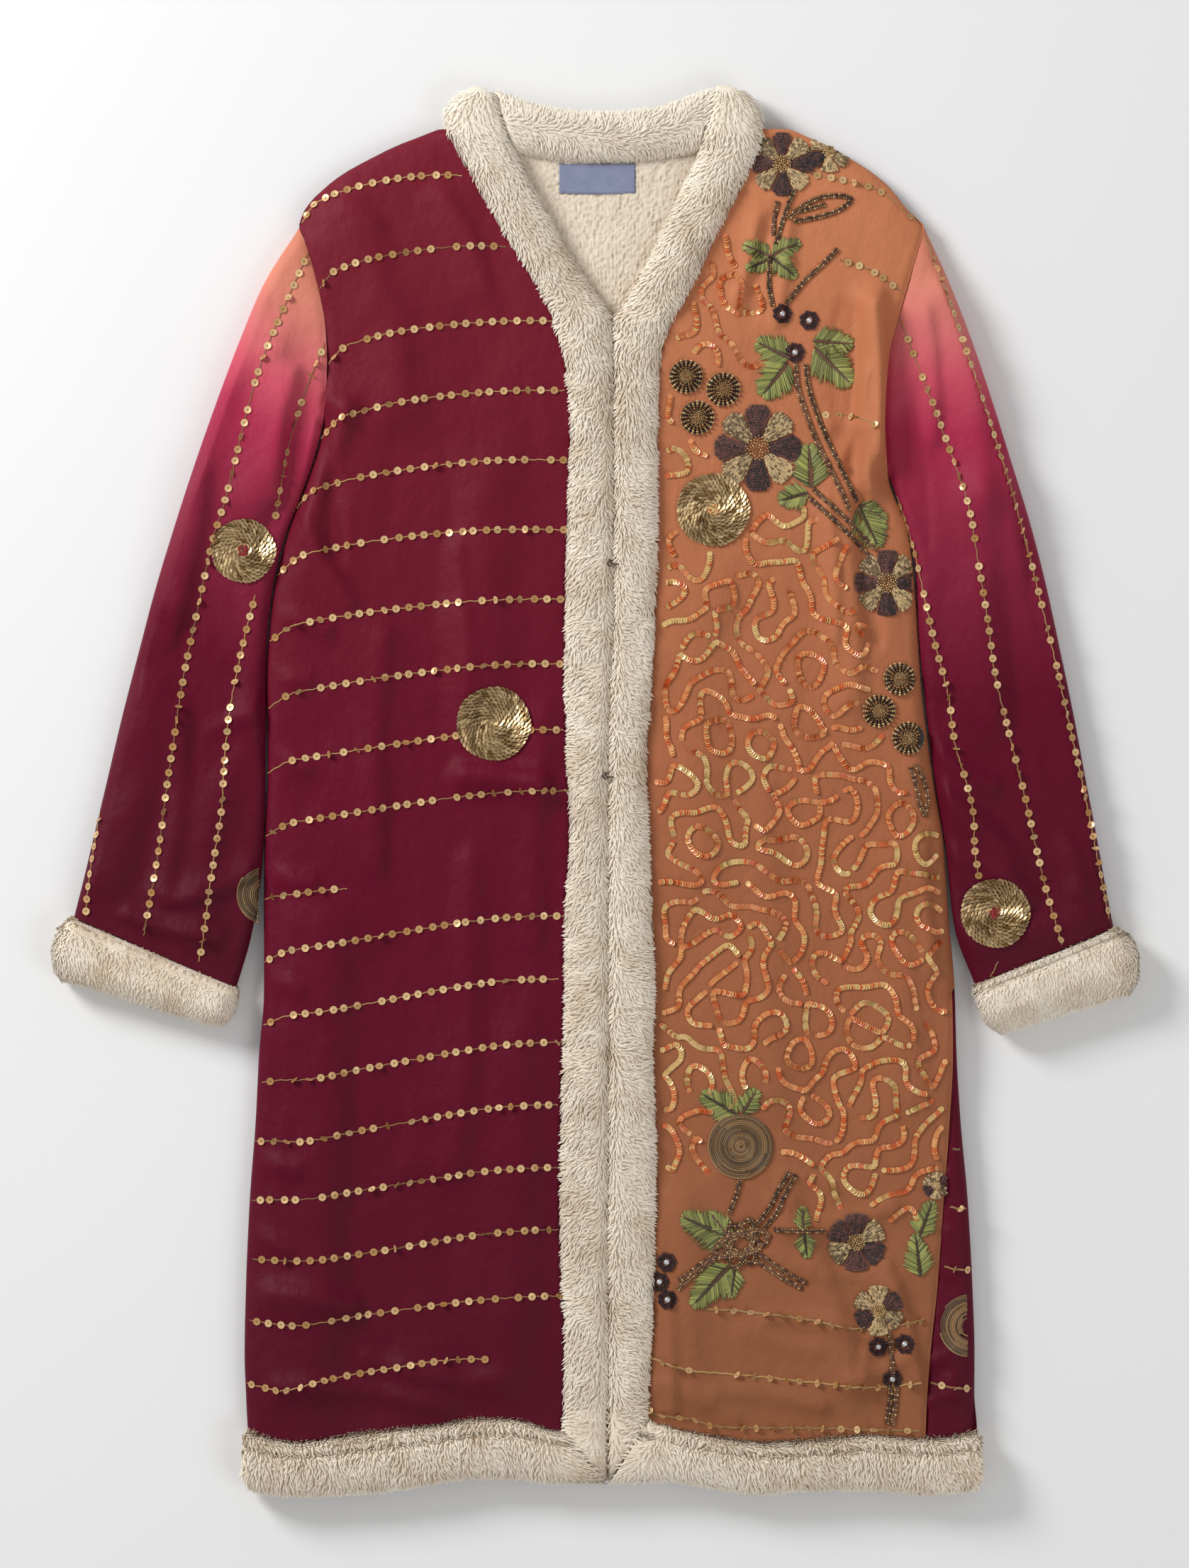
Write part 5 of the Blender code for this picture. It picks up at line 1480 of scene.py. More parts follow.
class Scatter:
    """Many like small shapes gathered into one mesh."""

    def __init__(self):
        self.points, self.faces, self.uv, self.count = [], {}, [], 0

    def add(self, points, faces, uv):
        """Points in millimetres with their faces, and each point's UV."""
        points = np.asarray(points, float).reshape(-1, 3)
        for array in faces:
            self.faces.setdefault(array.shape[1], []).append(array + self.count)
        self.points.append(points)
        self.uv.append(np.broadcast_to(uv, (len(points), 2)))
        self.count += len(points)

    def stamp(self, shape, centres, along, ups, sizes, own):
        """A shape set at each centre, turned to lie along its direction and
        stand up along its normal, and sized."""
        shape_points, shape_faces = shape
        centres = np.asarray(centres, float)
        n = len(centres)
        if n == 0:
            return
        along, ups = (np.broadcast_to(np.asarray(way, float), (n, 3)) for way in (along, ups))
        ups = ups / np.linalg.norm(ups, axis=1, keepdims=True)
        along = along - ups * (along * ups).sum(1, keepdims=True)
        along = along / (np.linalg.norm(along, axis=1, keepdims=True) + 1e-9)
        side = np.cross(ups, along)
        sizes = np.broadcast_to(np.asarray(sizes, float), (n,))[:, None, None]
        x, y, z = (shape_points[:, k][None, :, None] for k in range(3))
        turned = along[:, None] * x + side[:, None] * y + ups[:, None] * z
        points = centres[:, None] + turned * sizes
        first = (np.arange(n) * len(shape_points))[:, None, None]
        faces = [(first + array[None]).reshape(-1, array.shape[1]) for array in shape_faces]
        own = np.broadcast_to(np.asarray(own, float), (n,))
        uv = np.repeat(np.stack([own, np.full(n, 0.5)], 1), len(shape_points), axis=0)
        self.add(points, faces, uv)

    def thread(self, path, radius, own, around=4, roundness=0.8):
        """A thread laid along a path."""
        points, faces = tube(path, radius, around, roundness)
        along = np.append(np.repeat(np.arange(len(path)) * 0.1, around), (0.0, 0.0))
        self.add(points, faces, np.stack([np.full(len(points), own), along], 1))

    def build(self, name, material, replaces=()):
        """The one mesh of everything that was added."""
        faces = [np.concatenate(arrays) for arrays in self.faces.values()]
        return make(name, np.vstack(self.points), faces, material,
                    uv=np.vstack(self.uv), replaces=replaces)


def sequin_shape(around, hole):
    """A sequin of radius 1: a shallow cup, with or without its hole."""
    turn = np.arange(around) * TAU / around
    ring = np.stack([np.cos(turn), np.sin(turn), np.full(around, 0.05)], 1)
    k = np.arange(around)
    j = (k + 1) % around
    if hole:
        inner = ring * (hole, hole, 0.0) - (0.0, 0.0, 0.04)
        points = np.vstack([inner, ring])
        return points, [np.stack([k, k + around, j + around, j], 1)]
    points = np.vstack([(0.0, 0.0, -0.12), ring])
    return points, [np.stack([np.zeros(around, int), k + 1, j + 1], 1)]


def bead_shape(around, rows):
    """A bead of radius 1, a little flattened, as rings between two poles."""
    tilt = np.linspace(-0.5, 0.5, rows + 2)[1:-1] * np.pi
    turn = np.arange(around) * TAU / around
    rings = np.stack([np.cos(tilt)[:, None] * np.cos(turn), np.cos(tilt)[:, None] * np.sin(turn),
                      np.repeat(np.sin(tilt)[:, None], around, 1) * 0.85], -1).reshape(-1, 3)
    points = np.vstack([rings, (0.0, 0.0, -0.85), (0.0, 0.0, 0.85)])
    k = np.arange(around)
    j = (k + 1) % around
    top = len(rings) - around
    ends = np.concatenate([np.stack([j, k, np.full(around, len(rings))], 1),
                           np.stack([k + top, j + top, np.full(around, len(rings) + 1)], 1)])
    faces = [ends]
    if rows > 1:
        faces.append(quads(rows, around, closed=True))
    return points, faces


def stitch_shape():
    """A stitch of length 2 and radius 1 across: a six-sided spindle."""
    turn = np.arange(6) * TAU / 6
    ring = np.stack([np.zeros(6), np.cos(turn), np.sin(turn)], 1)
    points = np.vstack([ring + (-0.55, 0.0, 0.0), ring + (0.55, 0.0, 0.0),
                        (-1.0, 0.0, -0.4), (1.0, 0.0, -0.4)])
    k = np.arange(6)
    j = (k + 1) % 6
    return points, [np.stack([k, j, j + 6, k + 6], 1),
                    np.concatenate([np.stack([np.full(6, 12), j, k], 1),
                                    np.stack([np.full(6, 13), k + 6, j + 6], 1)])]


def level_way(x, y):
    """Directions level with the table, from their X and Y."""
    return np.stack([x, y, np.zeros(len(x))], 1)


def sunflower(count):
    """Angles, and shares of a radius, that spread so many points evenly over a
    round: each turns on by the golden angle."""
    k = np.arange(count)
    return k * GOLDEN_ANGLE, np.sqrt((k + 0.5) / count)


def tilted(ups, along, angle):
    """Normals leant back along a direction by an angle in radians."""
    angle = np.broadcast_to(np.asarray(angle, float), (len(ups),))[:, None]
    return ups * np.cos(angle) - along * np.sin(angle)


def runs(path):
    """Unit directions along a path."""
    run = np.gradient(path, axis=0)
    return run / (np.linalg.norm(run, axis=1, keepdims=True) + 1e-9)


def string(sequins, threads, cloth, places, rng, edge_on, pitch, cord):
    """One string of sequins: a gold thread on the cloth, whose radius is cord,
    and a sequin with a bead in its hole at each pitch. A share of them stands
    on edge, and one in twenty is missing."""
    path = cloth.lay(through(places, 2.6))
    wave = np.sin(np.arange(len(path)) * 1.7 + rng.random() * 6.0)
    side = np.cross(UP_WAY, runs(path))
    threads.thread(path + side * (wave * 0.35)[:, None] + (0.0, 0.0, 0.35), cord, rng.random())
    length = lengths(path)
    at = np.arange(pitch * 0.7, length[-1] - 1.0, pitch)
    at = (at + rng.normal(0.0, 0.8, len(at)))[rng.random(len(at)) > 0.05]
    if len(at) == 0:
        return
    spots = np.stack([np.interp(at, length, path[:, k]) for k in range(3)], 1)
    ups = cloth.slope(spots[:, 0], spots[:, 1])
    turn = rng.random(len(at)) * TAU
    along = level_way(np.cos(turn), np.sin(turn))
    standing = rng.random(len(at)) < edge_on
    ups = tilted(ups, along, np.where(standing, rng.uniform(0.55, 1.25, len(at)),
                                      rng.normal(0.0, 0.07, len(at))))
    lift = np.where(standing, 2.0, 1.0)[:, None] * UP_WAY
    own = rng.random(len(at))
    sequins.stamp(sequin_shape(12, 0.24), spots + lift, along, ups, SEQUIN_RADIUS, own)
    threads.stamp(bead_shape(6, 1), spots + lift * 1.05, along, ups, 0.62, own * 0.6)


def row_places(row):
    """Places of a row: it rises from left to right, steeply at first or in a
    soft step, and sags near its left end."""
    t = np.linspace(0.0, 1.0, 15)
    steep = 1.25 * t ** 0.45 - 0.25 * t ** 3
    level = smoothstep((t - 0.15) / 0.8)
    y = row.y0 + (row.y1 - row.y0) * (row.steep * steep + (1.0 - row.steep) * level)
    y = y + row.sag * np.exp(-((t - 0.14) / 0.12) ** 2)
    return laid(np.stack([row.x0 + (row.x1 - row.x0) * t, y], 1))


def clear_of(places, cloth_name, margin):
    """Whether each place is clear of the raised motifs of that cloth."""
    clear = np.ones(len(places), bool)
    for m in MOTIFS:
        if m.cloth == cloth_name:
            away = np.hypot(places[:, 0] - m.x, places[:, 1] - m.y)
            clear &= away > m.radius + margin
    return clear


class RibbonGround:
    """The part of the left front that ribbons may cover, with its lines. They
    are the places where a sum of plane waves, all of about one length but in
    many directions, is zero, so they meander and keep apart."""

    def __init__(self, rng):
        waves = 14
        heading = (np.arange(waves) + rng.uniform(-0.3, 0.3, waves)) * np.pi / waves
        size = TAU / (coat().ribbon_spacing * 2000.0) * rng.uniform(0.8, 1.2, waves)
        self.k = np.stack([np.cos(heading), np.sin(heading)], 1) * size[:, None]
        self.phase = rng.random(waves) * TAU
        self.limit = laid(RIBBON_LIMIT)
        others = [through(laid(line), 4.0) for line in STEMS]
        others += [laid([(f.x0, f.y0), ((f.x0 + f.x1) / 2.0, (f.y0 + f.y1) / 2.0), (f.x1, f.y1)])
                   for f in LEAVES]
        self.others = np.vstack(others + [KNOT[None]])

    def value(self, p):
        """The sum of the waves and its rise, at these places."""
        turn = p @ self.k.T + self.phase
        return np.cos(turn).sum(-1), -(np.sin(turn)[..., None] * self.k).sum(-2)

    def settle(self, p):
        """Places moved one step towards the line on which the sum is zero."""
        level, rise = self.value(p)
        step = rise * (level / ((rise ** 2).sum(-1) + 0.02))[..., None]
        return p - np.clip(step, -2.0, 2.0)

    def allowed(self, p):
        """Whether a place is on this ground and clear of all motifs."""
        x, y = p[..., 0], p[..., 1]
        low = read(SECTIONS, "y", "edge_l", y) + 8.0
        high = smooth_read(self.limit[:, 1], self.limit[:, 0], y)
        floor = np.where(x < 135.0, -306.0, -344.0)
        inside = (x > low) & (x < high) & (y < 463.0) & (y > floor)
        inside &= clear_of(p.reshape(-1, 2), "left", MOTIF_GAP).reshape(x.shape)
        near = np.linalg.norm(p.reshape(-1, 1, 2) - self.others[None], axis=-1).min(1)
        return inside & (near.reshape(x.shape) > STEM_GAP)

    def followed(self, p, sign, step):
        """The lines through these places, one way, in 70 steps. A step's heading
        is eased by half of the one before it."""
        line, before = [], None
        for _ in range(70):
            rise = self.value(p)[1]
            run = np.stack([-rise[:, 1], rise[:, 0]], 1) * sign
            run /= np.linalg.norm(run, axis=1, keepdims=True) + 1e-9
            if before is not None:
                run = run + before * 0.5
                run /= np.linalg.norm(run, axis=1, keepdims=True) + 1e-9
            before = run
            p = self.settle(p + run * step)
            line.append(p)
        return np.stack(line, 1)

    def free_part(self, line, taken):
        """The start of a line, up to where it leaves the ground or comes near
        the ribbons that are there."""
        good = self.allowed(line)
        if len(taken):
            good &= np.linalg.norm(line[:, None] - taken[None], axis=-1).min(1) > RIBBON_GAP
        return line if good.all() else line[:int(np.argmin(good))]


def ribbon_paths():
    """Paths of the ribbons. Seeds are moved onto the ground's lines. In random
    order, each is followed both ways for a random length, as far as it is free,
    and stops where its two ends meet."""
    rng = np.random.default_rng(4)
    ground = RibbonGround(rng)
    grid = np.stack(np.meshgrid(np.arange(30.0, 290.0, 7.0), np.arange(470.0, -350.0, -7.0)), -1)
    seeds = grid.reshape(-1, 2)
    for _ in range(6):
        seeds = ground.settle(seeds)
    step = coat().ribbon_pitch * 1000.0
    halves = [ground.followed(seeds, sign, step) for sign in (1.0, -1.0)]
    taken, paths = np.empty((0, 2)), []
    for i in rng.permutation(len(seeds)):
        if not ground.allowed(seeds[i]):
            continue
        if len(taken) and np.hypot(*(taken - seeds[i]).T).min() < SEED_GAP:
            continue
        reach = int(rng.integers(26, 69))
        there, back = (ground.free_part(half[i][:reach], taken) for half in halves)
        if len(there) and len(back):
            near = np.linalg.norm(there[:, None] - back[None], axis=-1).min(1)
            met = np.flatnonzero((near < 4.5) & (np.arange(len(there)) > 6))
            there = there[:met[0]] if len(met) else there
        path = np.vstack([back[::-1], seeds[i][None], there])
        if len(path) >= 10:
            taken = np.vstack([taken, path])
            paths.append(through(path[::2], step))
    return paths


def coil(m, cloth, rng):
    """A coil: one spiral of twisted thread whose radius grows by the pitch at
    each turn, laid in short runs of their own shades, higher in its middle."""
    cord = Scatter()
    turn = np.sqrt(np.arange(0.4, ((m.radius - 1.0) / COIL_PITCH) ** 2, 0.30)) * TAU
    r = turn / TAU * COIL_PITCH
    path = np.stack([m.x + r * np.sin(turn), m.y + r * np.cos(turn)], 1)
    inside = (path[:, 0] > m.low) & (path[:, 0] < m.high)
    path = cloth.lay(path, 1.0 + 1.6 * (1.0 - (r / m.radius) ** 2))
    first = 0
    while first < len(path) - 2:
        last = min(first + int(rng.integers(14, 40)), len(path) - 1)
        run = np.arange(first, last + 1)
        run = run[inside[run]]
        if len(run) > 2 and run[-1] - run[0] == len(run) - 1:
            cord.thread(path[run], COIL_RADIUS, rng.uniform(0.2, 0.75), 5, 1.0)
        first = last
    cord.build(m.node + "_coil", look("coil_thread"), replaces=[m.node])


def disc(m, cloth, rng):
    """A disc of overlapping sequins in rings, higher towards its middle, where
    it may carry a heap of beads."""
    sequins, centre = Scatter(), Scatter()
    for i, r in enumerate(np.arange(m.radius - 2.2, 1.6, -2.75)):
        count = max(int(round(TAU * r / 3.3)), 4)
        turn = (np.arange(count) + 0.5 * (i % 2)) * TAU / count + rng.normal(0.0, 0.02, count)
        wavy = r + 0.35 * np.sin(turn * 5.0 + i)
        x, y = m.x + wavy * np.sin(turn), m.y + wavy * np.cos(turn)
        keep = (x > m.low) & (x < m.high)
        if not keep.any():
            continue
        x, y, turn = x[keep], y[keep], turn[keep]
        spots = cloth.lay(np.stack([x, y], 1), 1.0 + 2.4 * (1.0 - r / m.radius))
        way = level_way(np.cos(turn), -np.sin(turn))
        outward = level_way(np.sin(turn), np.cos(turn))
        leant = tilted(tilted(cloth.slope(x, y), way, rng.normal(0.30, 0.07, len(x))), outward,
                       rng.normal(0.24, 0.07, len(x)))
        sequins.stamp(sequin_shape(10, 0.2), spots, way, leant, SEQUIN_RADIUS,
                      np.clip(rng.normal(0.5, 0.28, len(x)), 0.0, 1.0))
    sequins.build(m.node + "_sequins", look("disc_sequins"), replaces=[m.node])
    if m.look == "sequins":
        return
    heap = 46
    r = np.sqrt(rng.random(heap)) * 4.6
    turn = rng.random(heap) * TAU
    spots = cloth.lay(np.stack([m.x + r * np.cos(turn), m.y + r * np.sin(turn)], 1), 3.6)
    centre.stamp(bead_shape(6, 2), spots, X_WAY, UP_WAY, 0.95, rng.random(heap))
    paint = "red_beads" if m.look == "red_centre" else "orange_sequins"
    centre.build(m.node + "_centre", look(paint))


def petal_field(m, cloth, rng):
    """A flower: stitches on rings, each pointing out from the centre. The
    radius swings in once for each petal, and each petal is a low dome. Petals
    are dark or golden by turns."""
    dark, gold, core = Scatter(), Scatter(), Scatter()
    shape = stitch_shape()
    thin = (shape[0] * (1.0, 0.34, 0.40), shape[1])
    for i, r in enumerate(np.arange(m.radius * 0.30, m.radius + 0.5, 2.1)):
        count = int(round(TAU * r / 1.15))
        turn = np.arange(count) * TAU / count + 0.4 * i
        swing = 0.5 - 0.5 * np.cos(m.petals * turn)
        petal = np.round(m.petals * turn / TAU).astype(int) % m.petals
        reach = m.radius * (1.0 - 0.13 * swing ** 4)
        x, y = m.x + r * np.sin(turn), m.y + r * np.cos(turn)
        edge = read(SECTIONS, "y", "out_l", y) - 1.5
        keep = (r < reach) & (x > m.low) & (x < m.high) & (x < edge) & (swing < 0.985)
        if not keep.any():
            continue
        x, y, turn, swing, petal = x[keep], y[keep], turn[keep], swing[keep], petal[keep]
        lift = 0.9 + 1.7 * (1.0 - swing) * math.sin(math.pi * min(r / m.radius, 1.0) ** 0.8) + 0.3
        spots = cloth.lay(np.stack([x, y], 1), lift)
        way, ups = level_way(np.sin(turn), np.cos(turn)), cloth.slope(x, y)
        is_dark = {"mixed": petal % 2 == 0, "dark": petal % 3 != 1,
                   "golden": petal % 3 == 1}[m.look]
        own = np.clip(0.5 + 0.25 * np.sin(petal * 2.4 + 0.6) + rng.normal(0.0, 0.32, len(x)), 0, 1)
        for field, mask in ((dark, is_dark), (gold, ~is_dark)):
            field.stamp(thin, spots[mask], way[mask], ups[mask], 1.75, own[mask])
    turn, share = sunflower(60)
    r = m.radius * 0.30 * share
    x = np.clip(m.x + r * np.cos(turn), m.low, m.high)
    spots = cloth.lay(np.stack([x, m.y + r * np.sin(turn)], 1), 2.6)
    core.stamp(bead_shape(6, 2), spots, X_WAY, UP_WAY, 0.95, rng.random(len(turn)))
    stands_for = [m.node] if m in MOTIFS else []
    gold.build(m.node + "_gold_petals", look("gold_thread"), replaces=stands_for)
    dark.build(m.node + "_dark_petals", look("plum_thread"))
    core.build(m.node + "_centre", look("gold_beads"))


def rosette(m, cloth, rng, beads, tips):
    """A rosette: beads in spokes round a domed centre of small gold beads."""
    spokes = 20
    for i, share in enumerate((0.52, 0.66, 0.80, 0.94)):
        turn = np.arange(spokes) * TAU / spokes
        x, y = m.x + m.radius * share * np.cos(turn), m.y + m.radius * share * np.sin(turn)
        spots = cloth.lay(np.stack([x, y], 1), 3.4 - 2.0 * share + 0.3)
        way = level_way(np.cos(turn), np.sin(turn))
        field = tips if i > 1 else beads
        field.stamp(bead_shape(6, 2), spots, way, cloth.slope(x, y), 1.3, rng.random(spokes))
    turn, share = sunflower(56)
    r = m.radius * 0.44 * share
    spots = cloth.lay(np.stack([m.x + r * np.cos(turn), m.y + r * np.sin(turn)], 1))
    spots[:, 2] += 1.2 + 2.6 * np.sqrt(1.0 - (r / (m.radius * 0.5)) ** 2)
    tips.stamp(bead_shape(6, 2), spots, X_WAY, UP_WAY, 0.8, rng.random(len(turn)) * 0.7)


def small_flower(x, y, cloth, rng, petals, crystals):
    """A small dark flower: beads over a round with seven shallow notches, and a
    crystal in the middle."""
    turn, share = sunflower(66)
    r = 2.4 + share * 5.4 * (1.0 - 0.16 * (0.5 - 0.5 * np.cos(7.0 * turn)))
    spots = cloth.lay(np.stack([x + r * np.cos(turn), y + r * np.sin(turn)], 1), 1.0)
    way = level_way(np.cos(turn), np.sin(turn))
    petals.stamp(bead_shape(6, 2), spots, way, UP_WAY, 1.05, rng.random(len(turn)))
    crystals.stamp(bead_shape(10, 3), cloth.lay([(x, y)], 1.4), X_WAY, UP_WAY, 2.6, rng.random(1))


def knot_loops():
    """The beaded knot: five narrow ellipses about its middle, each turned on
    and a little smaller."""
    loops = []
    for k in range(5):
        turn = np.linspace(0.0, TAU, 9)
        lean = k * 0.9 + 0.3
        wide, tall = (23.0 - 2.6 * k) * np.cos(turn), (8.5 - 0.5 * k) * np.sin(turn)
        x = KNOT[0] + wide * math.cos(lean) - tall * math.sin(lean)
        y = KNOT[1] + wide * math.sin(lean) + tall * math.cos(lean)
        loops.append(np.stack([x, y], 1))
    return loops


def stem(path, cloth, rng, beads, gold, cord):
    """A beaded stem: a thread between two rows of beads, one in four golden."""
    ups, way = cloth.slope(path[:, 0], path[:, 1]), runs(path)
    own = rng.random(len(path))
    for hand in (-1.0, 1.0):
        row = path + np.cross(ups, way) * (hand * 1.15)
        bright = (np.arange(len(path)) + int(hand)) % 4 == 0
        for field, mask, size in ((beads, ~bright, 1.2), (gold, bright, 1.15)):
            field.stamp(bead_shape(6, 2), row[mask], way[mask], ups[mask], size, own[mask])
    cord.thread(path - (0.0, 0.0, 0.5), 1.6, rng.random())


def leaf_halves(leaf, cloth, rng, stitches, ribs):
    """A leaf: slanting stitches to both sides of a rib. A half's width rises
    softly from the base and falls by the rest of the way to the power 0.75."""
    shape = stitch_shape()
    base, tip = laid([(leaf.x0, leaf.y0), (leaf.x1, leaf.y1)])
    length = float(np.hypot(*(tip - base)))
    way = (tip - base) / length
    side = np.array([-way[1], way[0]])
    n = max(int(length / 0.8), 12)
    t = np.linspace(0.02, 0.97, n)
    for hand in (-1.0, 1.0):
        notch = rng.uniform(0.72, 1.14, n)
        wide = leaf.width * 1.45 * length * (1.0 - t) ** 0.75 * smoothstep(t / 0.16 + 0.3)
        wide = wide * notch + 0.7
        start = base + way * (t * length * 0.93)[:, None]
        end = start + way * (wide * (0.45 + 0.9 * t))[:, None] + side * (hand * wide)[:, None]
        middle, run = (start + end) / 2.0, end - start
        size = np.hypot(run[:, 0], run[:, 1]) / 2.0
        spots, along = cloth.lay(middle, 1.0), level_way(run[:, 0], run[:, 1])
        ups = cloth.slope(middle[:, 0], middle[:, 1])
        own = np.clip(rng.normal(0.5, 0.25, n), 0.0, 1.0)
        for k in range(n):
            slim = 0.42 / size[k]
            one = (shape[0] * (1.0, slim, slim), shape[1])
            stitches.stamp(one, spots[k:k + 1], along[k], ups[k], size[k], own[k])
    rib = cloth.lay(base + way * (np.linspace(0.0, 0.85, 10) * length)[:, None], 1.5)
    ribs.thread(rib, 0.6, rng.random())


# Operators.

class COAT_OT_fronts(Operator):
    """Both fronts and the strip of the back that turns over, as thin shells."""

    bl_idname = "coat.fronts"
    bl_label = "Fronts"

    def execute(self, context):
        c = cloths()
        right = front_grid("right", c["right"])
        left = front_grid("left", c["left"])[:, ::-1]
        turned = turned_grid(c["turned"])
        maroon = finish_of("maroon", maroon_silk)
        orange = finish_of("orange", orange_silk)
        for name, grid, material, slot, node, flat, area in (
                ("right_front_cloth", right, maroon, "maroon_silk", "front_right",
                 (0.27, 1.06), 0.25),
                ("left_front_cloth", left, orange, "orange_silk", "front_left",
                 (0.27, 1.06), 0.23),
                ("turned_side_cloth", turned, maroon, "maroon_silk", "back_turned",
                 (0.05, 0.36), 0.012)):
            rim = shell(grid, UPPER)
            faces = quads(*rim.shape[:2])[:, ::-1]
            made = make(name, rim, [faces], material, replaces=[node])
        return {"FINISHED"}


class COAT_OT_back(Operator):
    """The back, flat on the table, with its edges turned up to the side seams."""

    bl_idname = "coat.back"
    bl_label = "Back"

    def execute(self, context):
        grid = tray(back_grid(), WALL - 0.1)
        made = make("back_cloth", grid, [quads(*grid.shape[:2])],
                    finish_of("maroon", maroon_silk), replaces=["back"])
        return {"FINISHED"}


class COAT_OT_sleeves(Operator):
    """Both sleeves, as flattened tubes dyed from orange to maroon."""

    bl_idname = "coat.sleeves"
    bl_label = "Sleeves"

    def execute(self, context):
        c = cloths()
        material = finish_of("ombre", ombre_silk)
        for name, rings, side, sign in (("right_sleeve_cloth", SLEEVE_R, "r", -1.0),
                                        ("left_sleeve_cloth", SLEEVE_L, "l", 1.0)):
            grid = sleeve_grid(rings, side, sign, c["sleeve_" + side])
            faces = quads(*grid.shape[:2], closed=True)
            if sign < 0.0:
                faces = faces[:, ::-1]
            node = "sleeve_right" if side == "r" else "sleeve_left"
            made = make(name, grid, [faces], material, replaces=[node])
        return {"FINISHED"}


def parted(place):
    """A comb for a band: the pile falls to both sides of its parting and down
    the band. In the neck the parting fades."""
    def comb(u, v):
        """How far the pile leans across the strip and along it."""
        below = smoothstep((v - 0.18) / 0.12)
        part = np.tanh((u - place) / 0.07) * below
        part = part + np.tanh((u - 0.5) / 0.25) * 0.7 * (1.0 - below)
        return part * 0.85, np.full_like(u, 0.75)
    return comb


def spread(u, v):
    """A comb that falls to both edges of a strip."""
    return np.tanh((u - 0.5) / 0.2) * 0.8, np.full_like(u, 0.2)


def swept(across, along, past=0.0):
    """A comb that leans the same way all over, and past the strip's last end
    in the part next to it."""
    def comb(u, v):
        """How far the pile leans across the strip and along it."""
        near = smoothstep((v - 0.94) / 0.05) * past
        return across * (1.0 - near) + 0.0 * u, along * (1.0 - near) + near * 1.1
    return comb


class COAT_OT_fur(Operator):
    """The fur trim: bands, hem, neck and cuffs, each a strip with its pile."""

    bl_idname = "coat.fur"
    bl_label = "Fur trim"

    def execute(self, context):
        root, tip = dye("fur_root"), dye("fur_tip")
        under = finish_of("fur_skin", fur_finish, "cream_fur_skin", root, tip, False)
        over = finish_of("fur_pile", fur_finish, "cream_fur_pile", root, tip, True)
        neck = evened([(n.seam_x, n.seam_y) for n in NECK], 50)
        neck_top = evened([(n.top_x, n.top_y) for n in NECK], 50)
        hem_x = np.linspace(HEM_R, HEM_L, 90)
        strips = {
            "right_band": (band_strip("r", HEAD_R, EDGE_HEM_R, -1.0), "band_right",
                           parted(0.66), (0.05, 0.93)),
            "left_band": (band_strip("l", HEAD_L, EDGE_HEM_L, 1.0), "band_left",
                          parted(0.66), (0.05, 0.93)),
            "right_hem": (hem_strip(-1.0, HEM_R, EDGE_HEM_R, SIDE_END_R), "hem_right",
                          swept(0.9, 0.25, 1.0), (0.05, 0.96)),
            "left_hem": (hem_strip(1.0, HEM_L, EDGE_HEM_L, SIDE_END_L), "hem_left",
                         swept(0.9, -0.25, 1.0), (0.05, 0.96)),
            "neck": (Strip(neck, neck_top, 0.0, UPPER + FUR_HEIGHT * 0.85, FUR_ROLL), "neck_band",
                     spread, (0.05, 0.98)),
            "back_hem": (Strip(np.column_stack([hem_x, hem_top(hem_x) - SEAM]),
                               np.column_stack([hem_x, hem_end(hem_x)]), 0.0, WALL, FLAT_ROLL),
                         "hem_back", swept(0.9, 0.1), (0.74, 0.99)),
            "right_cuff": (cuff_strip(CUFF_R), "cuff_right", swept(0.1, 0.9), (0.0, 1.0)),
            "left_cuff": (cuff_strip(CUFF_L), "cuff_left", swept(0.1, 0.9), (0.0, 1.0)),
        }
        for name, (strip, node, comb, reach) in strips.items():
            base = skin(name + "_fur", strip, under, node, capped="cuff" not in name)
            if "cuff" in name:
                mouth(name + "_mouth", strip, under)
            length = CUFF_LOCK if "cuff" in name else None
            pile(name + "_pile", strip, over, comb, 100 + len(name), reach, length)
        return {"FINISHED"}


class COAT_OT_lining(Operator):
    """The pile lining that shows in the neck, and the bare label on it."""

    bl_idname = "coat.lining"
    bl_label = "Lining and label"

    def execute(self, context):
        grid, rise = lining_grid()
        rim = shell(grid, UPPER)
        # The curls' rise goes into the UV, where the lining's finish paints shade between the
        # curls.
        painted_shade_rise = np.pad(rise, 1, mode="edge").ravel()
        uv = np.stack([np.zeros_like(painted_shade_rise), painted_shade_rise], 1)
        made = make("neck_lining", rim, [quads(*rim.shape[:2])[:, ::-1]],
                    finish_of("pile", pile_finish), uv=uv, replaces=["lining"])
        top, spots, upright = label_parts()
        rim = shell(top, LABEL_LEVEL - 0.9)
        tag = make("neck_label", rim, [quads(*rim.shape[:2])],
                   finish_of("label", label_finish), replaces=["label"])
        centres = on_label(spots[:, 0], spots[:, 1], LABEL_LEVEL + 0.75)
        way = np.where(upright[:, None], Y_WAY, X_WAY)
        ups = np.broadcast_to(UP_WAY, centres.shape)
        points, faces = dashes(centres, way, ups, 0.85, 0.17)
        uv = np.full((len(points), 2), 0.8)
        make("label_stitches", points, [faces], look("label_thread"), uv=uv)
        return {"FINISHED"}


